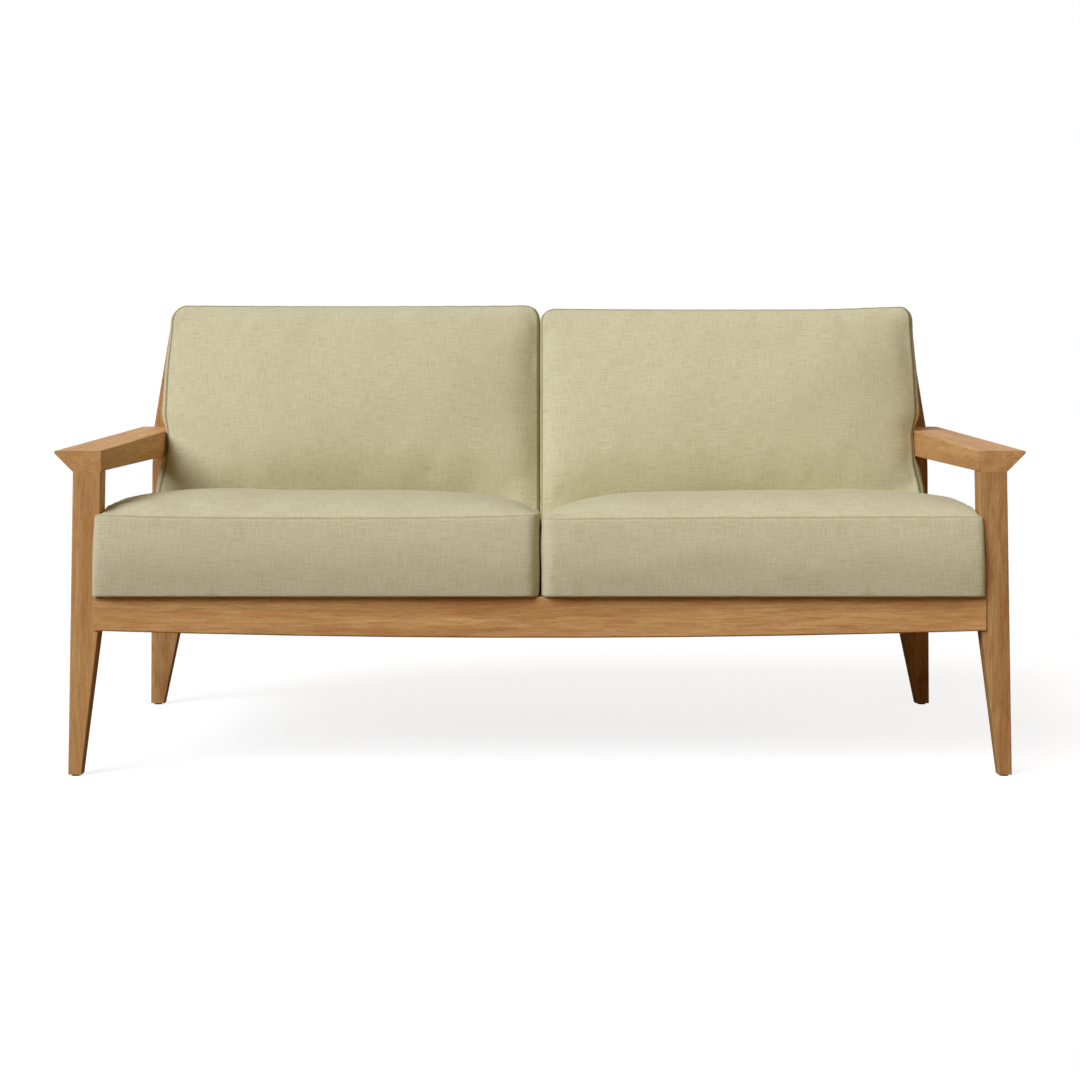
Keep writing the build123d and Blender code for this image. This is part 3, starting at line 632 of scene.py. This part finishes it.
def seat_plane(y):
    """Height of the slats' tops at a depth y."""
    return APRON_BOX[1].z - (y - APRON_BOX[0].y) * math.tan(math.radians(SEAT_TILT))


def turned(points, place, angle):
    """Points turned by an angle about X, in degrees, and moved to a place."""
    c, s = math.cos(math.radians(angle)), math.sin(math.radians(angle))
    x, y, z = points.T
    return np.stack([x, c * y - s * z, s * y + c * z], -1) + np.array(place)


# Seat cushions, drawn for the right side in the seat's own axes: x across, y along the slats, z off
# them. The outer side and the form differ a little from cushion to cushion. The shade is the painted
# shade at the seams: how dark it is and how far it reaches, as linen_material takes it. The seed
# starts the random folds.
SEAT_INNER = 2.4 * MM
SEAT_OUTER = {"left": ARM_INNER + 16.5 * MM, "right": ARM_INNER + 12.5 * MM}
SEAT_FRONT = -16 * MM
SEAT_REAR = 722 * MM
SEAT_RADII = (19 * MM, 13 * MM, 16 * MM, 16 * MM)
SEAT_LOW = 0.6 * MM
SEAT_SEAM = 133 * MM
SEAT_BULGE = 7.5 * MM
SEAT_GRID = (64, 64, 12)
SEAT_SOFTEN = 2.6 * MM
SEAT_SHADE = (0.74, 2.6 * MM)
SEAT_SEED = 3

# What the back cushion presses down: the whole rear, and more of it in the inner corner
SEAT_PRESS = 24 * MM
SEAT_CORNER_PRESS = 16 * MM

# By side: the crown's rise from the inner side, as edge_rise takes it; how full the outer side is;
# how far behind the front the press starts; and, for the front top seam, its sag between the corners,
# its slope and its lift
SEAT_FORM = {
    "left": ((0.42, 50 * MM, 330 * MM), 0.62, 250 * MM, 6.4 * MM, 0.0, 1.0 * MM),
    "right": ((0.36, 76 * MM, 280 * MM), 0.56, 130 * MM, 0.4 * MM, 1.9 * MM, 1.8 * MM),
}

# Back cushions, drawn for the right side: x across, y up the reclined back, z forward of it. The knee
# is where the plane of the back starts, and the foot is how far below it the lower seam lies.
BACK_INNER = 2.6 * MM
BACK_OUTER = ARM_INNER - 4.0 * MM
BACK_RADII = {
    "left": (9 * MM, 10 * MM, 28 * MM, 35 * MM),
    "right": (9 * MM, 10 * MM, 31 * MM, 23 * MM),
}
BACK_LOW = 8.3 * MM
BACK_SEAM = 160 * MM
BACK_FOOT = -91.52 * MM
BACK_HEIGHT = 388 * MM
BACK_BASE_CROWN = 7 * MM
BACK_GRID = (64, 36, 14)
BACK_SOFTEN = 1.0 * MM
# How dark the painted shade at the back cushions' seams is, and how far it reaches
BACK_SHADE = (0.45, 3.4 * MM)
BACK_SEED = 11
KNEE = (LEG_FRONT + 735.8 * MM, 494 * MM)

# By side: how far the top drops; how full the inner side is; and the reach of its quick rise
BACK_FORM = {"left": (0.0, 0.0, 55 * MM), "right": (7 * MM, 0.35, 40 * MM)}

# By side: how far the outer side swells out above the armrest, and the share that the top loses
BACK_SWELL = {"left": (7 * MM, 0.7), "right": (10.5 * MM, 0.25)}
BACK_LOW_SWELL = 11 * MM

# Where two cushions meet: half the gap between them, how deep the left one bows into the right on the
# back and on the seat, and how far it stands back at the two ends of the back's bow
MEETING_GAP = 0.4 * MM
MEETING_BOW = 2.6 * MM
SEAT_BOW = 4.6 * MM
MEETING_SHIFT = 0.8 * MM

# How far a cushion stays off the arm, how wide the groove of a seam is, and how sharp its edge stays
ARM_GAP = 0.6 * MM
SEAM_WIDTH = 2.2 * MM
SEAM_CREASE = 0.7


def seat_cushion_points(form, crown, side):
    """Seat cushion in the seat's axes: a flat grid raised by its crown, with front boxing that swells
    by sin(pi t) between the seams. The outer side is nearly as full as the middle, so its boxing is
    drawn up with it, and the inner rear is pressed down by the back cushion. The front top seam
    sags between its corners by 1 - |x|^3."""
    inner, full, start, sag, slope, lift = SEAT_FORM[side]
    x, y, t = form.x, form.y, form.t
    across = np.clip(x / form.half_x, -1, 1)
    from_inner, from_outer = form.half_x + x, form.half_x - x
    from_front, from_rear = form.half_y + y, form.half_y - y
    at_front = np.exp(-from_front / (90 * MM))

    full = full * edge_rise(from_front, 0.4, 60 * MM, 290 * MM)
    outer_rise = full + (1 - full) * edge_rise(from_outer, 0.12, 40 * MM, 230 * MM)
    rise = np.minimum(edge_rise(from_inner, *inner), outer_rise)
    rise = rise * edge_rise(from_front, 0.55, 55 * MM, 200 * MM)
    rise = rise * edge_rise(from_rear, 0.4, 60 * MM, 420 * MM)
    z = form.low + (form.high - form.low) * t + crown * rise * np.where(form.side > 0, t**2, t)
    z = z + (sag * np.abs(across) ** 3 + slope * across + lift) * t * at_front
    pressed = smooth_step(from_front, start, 610 * MM) * (1 - smooth_step(across, -0.3, 0.8))
    z = z - SEAT_PRESS * t * pressed
    corner = smooth_step(from_front, 430 * MM, 590 * MM) * np.exp(-((from_inner / (90 * MM)) ** 2))
    z = z - SEAT_CORNER_PRESS * t * corner

    swell = SEAT_BULGE * np.sin(np.pi * t) * form.side
    ahead = np.clip(-form.out[:, 1], 0, 1)
    inwards = np.clip(-form.out[:, 0], 0, 1)
    px = x + form.out[:, 0] * swell * inwards * 0.2
    py = y + form.out[:, 1] * swell * (0.6 + 0.4 * ahead)
    at_corners = np.exp(-from_outer / (24 * MM)) + np.exp(-from_inner / (18 * MM))
    py = py + 5 * MM * at_corners * np.exp(-from_front / (30 * MM))
    px = px - np.clip(across, 0, 1) * 2.2 * MM * t * at_front
    middle = np.array([(SEAT_INNER + SEAT_OUTER[side]) / 2, (SEAT_FRONT + SEAT_REAR) / 2, 0.0])
    return np.stack([px, py, z], -1) + middle


def press_seat(points, form, sign):
    """Keeps a seat cushion between the arms behind the legs' front faces, and off the surface where
    the two cushions meet: half a sine wave from the front to the rear. The cushion's inner 60 mm
    follow that wave."""
    ahead = smooth_step(LEG_FRONT - points[:, 1], 0.3 * MM, 6 * MM)
    limit = ARM_INNER - ARM_GAP + ahead * 14 * MM
    along = (points[:, 1] - LEG_FRONT - SEAT_FRONT) / (SEAT_REAR - SEAT_FRONT)
    bow = sign * SEAT_BOW * np.sin(np.pi * np.clip(along, 0, 1))
    points[:, 0] += bow * np.clip(1 - points[:, 0] / (60 * MM), 0, 1) ** 2
    points[:, 0] = np.clip(points[:, 0], MEETING_GAP + bow, limit)
    return points


def swell_back(points, side):
    """Lets the outer side of a back cushion swell out past its CAD seam above and below the armrest.
    Above it the swell tapers to the top, on the left cushion more than on the right."""
    most, taper = BACK_SWELL[side]
    height = points[:, 2]
    above = smooth_step(height, ARM_HIGH.z - 8 * MM, ARM_HIGH.z + 30 * MM)
    above = above * most * (1 - taper * smooth_step(height, 680 * MM, 780 * MM))
    below = BACK_LOW_SWELL * (1 - smooth_step(height, 440 * MM, ARM_LOW.z + 2 * MM))
    share = np.clip(points[:, 0] / BACK_OUTER, 0, 1) ** 6
    return points + (share * (above + below))[:, None] * (1, 0, 0)


def back_cushion_points(form, crown, side):
    """Back cushion in its own axes: a crown highest a little below the middle, that turns in all the
    way to the lower seam, and boxing that swells by sin(pi t)^0.5. Its base is crowned a little. The
    right one's inner side stands full at its seam by a share of the crown, and draws the boxing up
    with it. The foot sinks between the seat and the slats, most of all beside the other cushion."""
    drop, full, quick_reach = BACK_FORM[side]
    x, y, t = form.x, form.y, form.t
    up = y / form.half_y
    from_inner, from_outer = form.half_x + x, form.half_x - x

    inner_rise = full + (1 - full) * edge_rise(from_inner, 0.30 * (1 - full), quick_reach, 300 * MM)
    rise = inner_rise * edge_rise(from_outer, 0.14, 40 * MM, 270 * MM)
    rise = rise * edge_rise(form.half_y - y, 0.42, 40 * MM, 250 * MM)
    rise = rise * edge_rise(form.half_y + y, 0.62, 100 * MM, 210 * MM)
    z = form.low + (form.high - form.low) * t + crown * rise * np.where(form.side > 0, t**3, t)
    base = 1 - (1 - np.clip(form.inset / (60 * MM), 0, 1)) ** 3
    z = z - np.where(form.is_lower, BACK_BASE_CROWN * base, 0.0)

    profile = np.sin(np.pi * np.clip(t, 0, 1)) ** 0.5 * form.side
    outer = np.where(form.out[:, 0] > 0, 11 * MM + 8 * MM * smooth_step(-up, -0.8, 0.6), 5 * MM)
    amount = outer * np.abs(form.out[:, 0]) + 4 * MM * np.abs(form.out[:, 1])
    px = x + form.out[:, 0] * profile * amount
    py = y + form.out[:, 1] * profile * amount
    py = py - up * 2 * MM * (1 - (x / form.half_x) ** 2)
    inner_foot = np.exp(-((from_inner / (75 * MM)) ** 2))
    py = py - t * np.clip(-up, 0, 1) ** 2 * (14 * MM + 56 * MM * inner_foot)
    outer_share = smooth_step(x, 0.5 * form.half_x, form.half_x)
    py = py - drop * np.clip((up + 1) / 2, 0, 1) * (1 - 0.6 * outer_share)
    middle = np.array([(BACK_INNER + BACK_OUTER) / 2, 0.0, 0.0])
    return np.stack([px, py, z], -1) + middle


def press_back(points, form, sign):
    """Keeps a back cushion off the arm, and off the surface where the two cushions meet: half a sine
    wave from the base to the front."""
    height = points[:, 2]
    inside = (height > ARM_LOW.z - 2 * MM) & (height < ARM_HIGH.z + 2 * MM)
    near = np.minimum(np.abs(height - ARM_LOW.z), np.abs(height - ARM_HIGH.z))
    limit = np.where(inside, ARM_INNER - ARM_GAP, ARM_INNER + 0.7 * near)
    limit = np.minimum(limit, ARM_INNER + 18 * MM)
    bow = MEETING_BOW * np.sin(np.pi * np.clip(form.t, 0, 1)) - MEETING_SHIFT
    points[:, 0] = np.clip(points[:, 0], MEETING_GAP + sign * bow, limit)
    return points


# Shares of the cloth run's folds that the boxing and the panels take
BOXING_FOLDS = 0.05
PANEL_FOLDS = 0.6


def make_cushion(name, form, points, press, depth, seed, mirror, end):
    """Builds one cushion: its form, the folds of the cloth run and the lie of the fabric, then one
    subdivision and the seams. The zip runs half way up the boxing at one end, 1 for the +y end and
    -1 for the -y end."""
    elsewhere = end * form.out[:, 1] < 0.95
    zip_line = np.abs(form.t - 0.5) * (form.high - form.low) + 100 * MM * elsewhere
    piece = new_mesh_object(name, points, form.faces, form.uv, seam=form.seam, zip=zip_line)
    crease_seams(piece, form)
    share = smooth_step(form.near, 0.0, 12 * MM) * np.where(form.side > 0, BOXING_FOLDS, PANEL_FOLDS)
    folds = wrinkles(piece, form, seed) * share[:, None]
    folds += normals_of(piece.data) * ease(form, seed)[:, None]
    set_points(piece, press(points + folds, form, mirror))
    subdivide(piece)
    draw_seams(piece, depth, SEAM_WIDTH)
    if mirror < 0:
        set_points(piece, points_of(piece.data) * (-1, 1, 1))
        piece.data.flip_normals()
    return piece


class LOVESEAT_OT_stage(bpy.types.Operator):
    """Camera at the photograph's place, pale floor and soft studio light"""

    bl_idname = "loveseat.stage"
    bl_label = "Stage"

    def execute(self, context):
        settings = context.scene.loveseat_stage
        add_camera(context, settings)
        add_floor()
        add_world(context)
        add_lamps()
        context.scene.view_settings.view_transform = "Standard"
        return {"FINISHED"}


# Side of the square photograph, in pixels; sensor and lens, in millimetres
PHOTO_SIDE = 1080.0
SENSOR = 36.0
LENS = 66.67


def add_camera(context, settings):
    """Level camera in front of the seat. Its shift puts the horizon where the photograph has it."""
    data = bpy.data.cameras.new("camera")
    data.sensor_width = SENSOR
    data.lens = LENS
    data.shift_y = (settings.horizon - PHOTO_SIDE / 2) / PHOTO_SIDE
    data.clip_end = 100.0
    camera = bpy.data.objects.new("camera", data)
    camera.location = (0.0, LEG_FRONT - settings.distance, settings.height)
    camera.rotation_euler = (math.pi / 2, 0.0, 0.0)
    context.scene.collection.objects.link(camera)
    context.scene.camera = camera


# Floor: half its side, and where it starts to fade to white and is white, from the seat's middle
FLOOR_HALF = 12.0
FADE_FROM = 1.1
WHITE_FROM = 2.0


def add_floor():
    """Pale floor with the seat's soft shadow. To the camera it glows to plain white, all of it where
    the fade ends, so that it meets the background with no edge. What it throws back on the seat is
    the light of a matt, warm grey floor."""
    corners = [(x * FLOOR_HALF, y * FLOOR_HALF, 0) for x, y in ((-1, -1), (1, -1), (1, 1), (-1, 1))]
    floor = new_mesh_object("floor", np.array(corners), np.array([[0, 1, 2, 3]]))
    material, tree = new_material("matt_white_floor")
    camera_ray = add(tree, "LightPath").outputs["Is Camera Ray"]
    where = add(tree, "TexCoord").outputs["Object"]
    away = add(tree, "VectorMath", (where,), operation="LENGTH").outputs["Value"]
    matt = add(tree, "BsdfDiffuse", {"Color": rgba(linear("#8C7A5C"))})
    pale = add(tree, "BsdfDiffuse", {"Color": rgba((0.32, 0.32, 0.32))})
    glow = add(tree, "Emission", {"Color": rgba((1, 1, 1)), "Strength": 0.84})
    white = add(tree, "Emission", {"Color": rgba((1, 1, 1)), "Strength": 1.0})
    near = add(tree, "AddShader", (pale, glow))
    far = add(tree, "MapRange", (away, FADE_FROM, WHITE_FROM))
    seen = add(tree, "MixShader", (far, near, white))
    finish_material(tree, add(tree, "MixShader", (camera_ray, matt, seen)))
    floor.data.materials.append(material)


def add_world(context):
    """Soft warm light, more of it from above; white to the camera and in reflections."""
    world = bpy.data.worlds.new("studio")
    world.use_nodes = True
    tree = world.node_tree
    tree.nodes.clear()
    path = add(tree, "LightPath").outputs
    seen = path["Is Camera Ray"]
    for ray in ("Is Glossy Ray", "Is Transmission Ray"):
        seen = add(tree, "Math", (seen, path[ray]), operation="MAXIMUM")
    facing = add(tree, "TexCoord").outputs["Generated"]
    up = add(tree, "SeparateXYZ", (facing,)).outputs["Z"]
    strength = add(tree, "MapRange", (up, 0.0, 0.8, 0.12, 0.20))
    height = add(tree, "MapRange", (up, 0.1, 0.8))
    tint = paint(tree, rgba(linear("#FFCC78")), (height, rgba(linear("#FFEFCE"))))
    dim = add(tree, "Background", {"Color": tint, "Strength": strength})
    white = add(tree, "Background", {"Color": rgba((1, 1, 1)), "Strength": 1.0})
    add(tree, "OutputWorld", {"Surface": add(tree, "MixShader", (seen, dim, white))})
    context.scene.world = world


# What the lamps point at: the middle of the seat, at this height
AIM_HEIGHT = 0.42


def add_lamps():
    """Soft sun from the front, the viewer's left and above, and a weak warm fill from the right."""
    lamps = {
        "key": ("SUN", (-2.9, -3.2, 3.95), {"angle": 0.7, "energy": 3.45, "color": linear("#ECF1FF")}),
        "fill": ("AREA", (4.0, -1.0, 3.4), {"size": 2.0, "energy": 13.0, "color": linear("#FFD49A")}),
    }
    for name, (kind, place, settings) in lamps.items():
        data = bpy.data.lights.new(name, kind)
        for key, value in settings.items():
            setattr(data, key, value)
        lamp = bpy.data.objects.new(name, data)
        lamp.location = place
        aim = np.array([0.0, 0.0, AIM_HEIGHT]) - np.array(place)
        flat = math.hypot(aim[0], aim[1])
        lamp.rotation_euler = (math.atan2(flat, -aim[2]), 0.0, math.atan2(-aim[0], aim[1]))
        bpy.context.scene.collection.objects.link(lamp)


class LOVESEAT_OT_woodwork(bpy.types.Operator):
    """Oiled hardwood on every board, with the grain along the board"""

    bl_idname = "loveseat.woodwork"
    bl_label = "Woodwork"

    def execute(self, context):
        # Grain and a point of the pith line; where a board has its own, tone and share of red. The rear
        # legs, which stand in the seat's shadow, are darker and redder, in part painted shade; the right
        # front leg is darker and redder than the left.
        boards = {
            "front_leg_left": ("Z", (-0.86, -0.52, 0.0), 0.04, 0.25),
            "front_leg_right": ("Z", (0.70, -0.53, 0.0), -0.14, 0.55),
            "rear_leg_left": ("Z", (-0.85, 0.24, 0.1), -0.14, 0.6),
            "rear_leg_right": ("Z", (0.72, 0.26, 0.1), -0.06, 0.7),
            "armrest_left": ("Y", (-0.80, 0.0, 0.44), 0.10, 0.35),
            "armrest_right": ("Y", (0.77, 0.0, 0.45), 0.02, 0.35),
            "front_apron": ("X", (0.0, -0.36, 0.22), 0.10, 0.42),
            "rear_rail": ("X", (0.2, 0.25, 0.20)),
            "front_cleat": ("X", (0.1, -0.30, 0.20)),
            "rear_cleat": ("X", (0.1, 0.20, 0.20)),
            "back_rail_lower": ("X", (0.0, 0.30, 0.42)),
            "back_rail_top": ("X", (0.3, 0.36, 0.70)),
            "side_rail_left": ("Y", (-0.74, 0.0, 0.20)),
            "side_rail_right": ("Y", (0.74, 0.0, 0.20)),
            "centre_stretcher": ("Y", (0.05, 0.0, 0.18)),
        }
        for node, settings in boards.items():
            dress(node, board_material("oiled_hardwood_" + node, *settings))
        seat = board_material("oiled_hardwood_seat_slats", "Y", (0.05, 0.0, 0.16), 0.02)
        back = board_material("oiled_hardwood_back_slats", "Z", (0.05, 0.30, 0.4), lean=RECLINE)
        for number in range(1, 13):
            dress(f"seat_slat_{number:02d}", seat)
            dress(f"back_slat_{number:02d}", back)
        return {"FINISHED"}


def dress(node, material):
    """Gives a CAD node a material."""
    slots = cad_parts[node].material_slots
    if not slots:
        raise RuntimeError(f"{node} has no material slot")
    for slot in slots:
        slot.material = material


class LOVESEAT_OT_hardware(bpy.types.Operator):
    """Zinc plated bolts and nuts, and nylon glides under the feet"""

    bl_idname = "loveseat.hardware"
    bl_label = "Hardware"

    def execute(self, context):
        zinc = zinc_material("zinc_plated_steel")
        dress("connector_bolts", zinc)
        dress("barrel_nuts", zinc)
        dress("foot_glides", nylon_material("brown_nylon"))
        return {"FINISHED"}


def zinc_material(name):
    """Bright zinc plate on steel: a cool grey metal with a faint mottle."""
    material, tree = new_material(name)
    where = add(tree, "TexCoord").outputs["Object"]
    mottle = add(tree, "TexNoise", {"Vector": where, "Scale": 1 / (4 * MM), "Detail": 3.0})
    color = paint(tree, rgba(linear("#A9A9A4")), (mottle, rgba(linear("#C6C8C6"))))
    sheen = add(tree, "MapRange", (mottle, 0.3, 0.7, 0.26, 0.42))
    shader = add(tree, "BsdfPrincipled", {"Base Color": color, "Metallic": 1.0, "Roughness": sheen})
    finish_material(tree, shader)
    return material


def nylon_material(name):
    """Moulded brown nylon, slightly glossy, with a fine moulded grain."""
    material, tree = new_material(name)
    where = add(tree, "TexCoord").outputs["Object"]
    grain = add(tree, "TexNoise", {"Vector": where, "Scale": 1 / (0.8 * MM), "Detail": 2.0})
    color = paint(tree, rgba(linear("#7A5A38")), (grain, rgba(linear("#8A6842"))))
    bump = add(tree, "Bump", {"Height": grain, "Distance": 0.1 * MM})
    look = {"Base Color": color, "Roughness": 0.38, "IOR": 1.53, "Normal": bump}
    finish_material(tree, add(tree, "BsdfPrincipled", look))
    return material


class LOVESEAT_OT_seat_cushions(bpy.types.Operator):
    """Two boxed seat cushions"""

    bl_idname = "loveseat.seat_cushions"
    bl_label = "Seat cushions"

    def execute(self, context):
        cushions = context.scene.loveseat_cushions
        linen = linen_material("woven_linen_seat", *SEAT_SHADE)
        half_y = (SEAT_REAR - SEAT_FRONT) / 2
        for seed, (side, sign) in enumerate(SIDES.items(), SEAT_SEED):
            half_x = (SEAT_OUTER[side] - SEAT_INNER) / 2
            form = BoxedForm(half_x, half_y, SEAT_RADII, SEAT_LOW, SEAT_SEAM, SEAT_GRID, SEAT_SOFTEN)
            place = (0.0, LEG_FRONT, seat_plane(LEG_FRONT))
            points = turned(seat_cushion_points(form, cushions.seat_crown, side), place, -SEAT_TILT)
            name = f"seat_cushion_{side}"
            seam = cushions.seat_seam
            piece = make_cushion(name + "_linen", form, points, press_seat, seam, seed, sign, 1)
            piece.data.materials.append(linen)
            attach(piece, name)
            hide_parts(f"seat_cushion_cover_{side}", f"seat_cushion_foam_{side}")
        return {"FINISHED"}


class LOVESEAT_OT_back_cushions(bpy.types.Operator):
    """Two boxed back cushions"""

    bl_idname = "loveseat.back_cushions"
    bl_label = "Back cushions"

    def execute(self, context):
        cushions = context.scene.loveseat_cushions
        linen = linen_material("woven_linen_back", *BACK_SHADE)
        half_x = (BACK_OUTER - BACK_INNER) / 2
        half_y = BACK_HEIGHT / 2
        lean = math.radians(RECLINE)
        for seed, (side, sign) in enumerate(SIDES.items(), BACK_SEED):
            radii = BACK_RADII[side]
            form = BoxedForm(half_x, half_y, radii, BACK_LOW, BACK_SEAM, BACK_GRID, BACK_SOFTEN)
            up = BACK_FOOT + half_y
            place = (0.0, KNEE[0] + up * math.sin(lean), KNEE[1] + up * math.cos(lean))
            points = back_cushion_points(form, cushions.back_crown, side)
            points = swell_back(turned(points, place, 90 - RECLINE), side)
            name = f"back_cushion_{side}"
            seam = cushions.back_seam
            piece = make_cushion(name + "_linen", form, points, press_back, seam, seed, sign, -1)
            piece.data.materials.append(linen)
            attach(piece, name)
            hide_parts(f"back_cushion_cover_{side}", f"back_cushion_foam_{side}")
        return {"FINISHED"}


class LOVESEAT_PT_panel(bpy.types.Panel):
    """Lists the operators and their settings"""

    bl_idname = "LOVESEAT_PT_panel"
    bl_label = "Patio loveseat"
    bl_space_type = "VIEW_3D"
    bl_region_type = "UI"
    bl_category = "Loveseat"

    def draw(self, context):
        for operator in OPERATORS:
            self.layout.operator(operator.bl_idname)
        for name, group in GROUPS.items():
            box = self.layout.box()
            for key in group.__annotations__:
                box.prop(getattr(context.scene, name), key)


GROUPS = {
    "loveseat_timber": LoveseatTimber,
    "loveseat_fabric": LoveseatFabric,
    "loveseat_cushions": LoveseatCushions,
    "loveseat_stage": LoveseatStage,
}
OPERATORS = (
    LOVESEAT_OT_stage,
    LOVESEAT_OT_woodwork,
    LOVESEAT_OT_hardware,
    LOVESEAT_OT_seat_cushions,
    LOVESEAT_OT_back_cushions,
)


def register():
    """Registers the settings, the operators and the panel."""
    for kind in (*GROUPS.values(), *OPERATORS, LOVESEAT_PT_panel):
        bpy.utils.register_class(kind)
    for name, group in GROUPS.items():
        setattr(bpy.types.Scene, name, bpy.props.PointerProperty(type=group))


def unregister():
    """Takes them away again."""
    for name in GROUPS:
        delattr(bpy.types.Scene, name)
    for kind in (LOVESEAT_PT_panel, *reversed(OPERATORS), *reversed(tuple(GROUPS.values()))):
        bpy.utils.unregister_class(kind)


def main():
    register()
    bpy.ops.loveseat.stage()
    bpy.ops.loveseat.woodwork()
    bpy.ops.loveseat.hardware()
    bpy.ops.loveseat.seat_cushions()
    bpy.ops.loveseat.back_cushions()


if __name__ == "__main__":
    main()
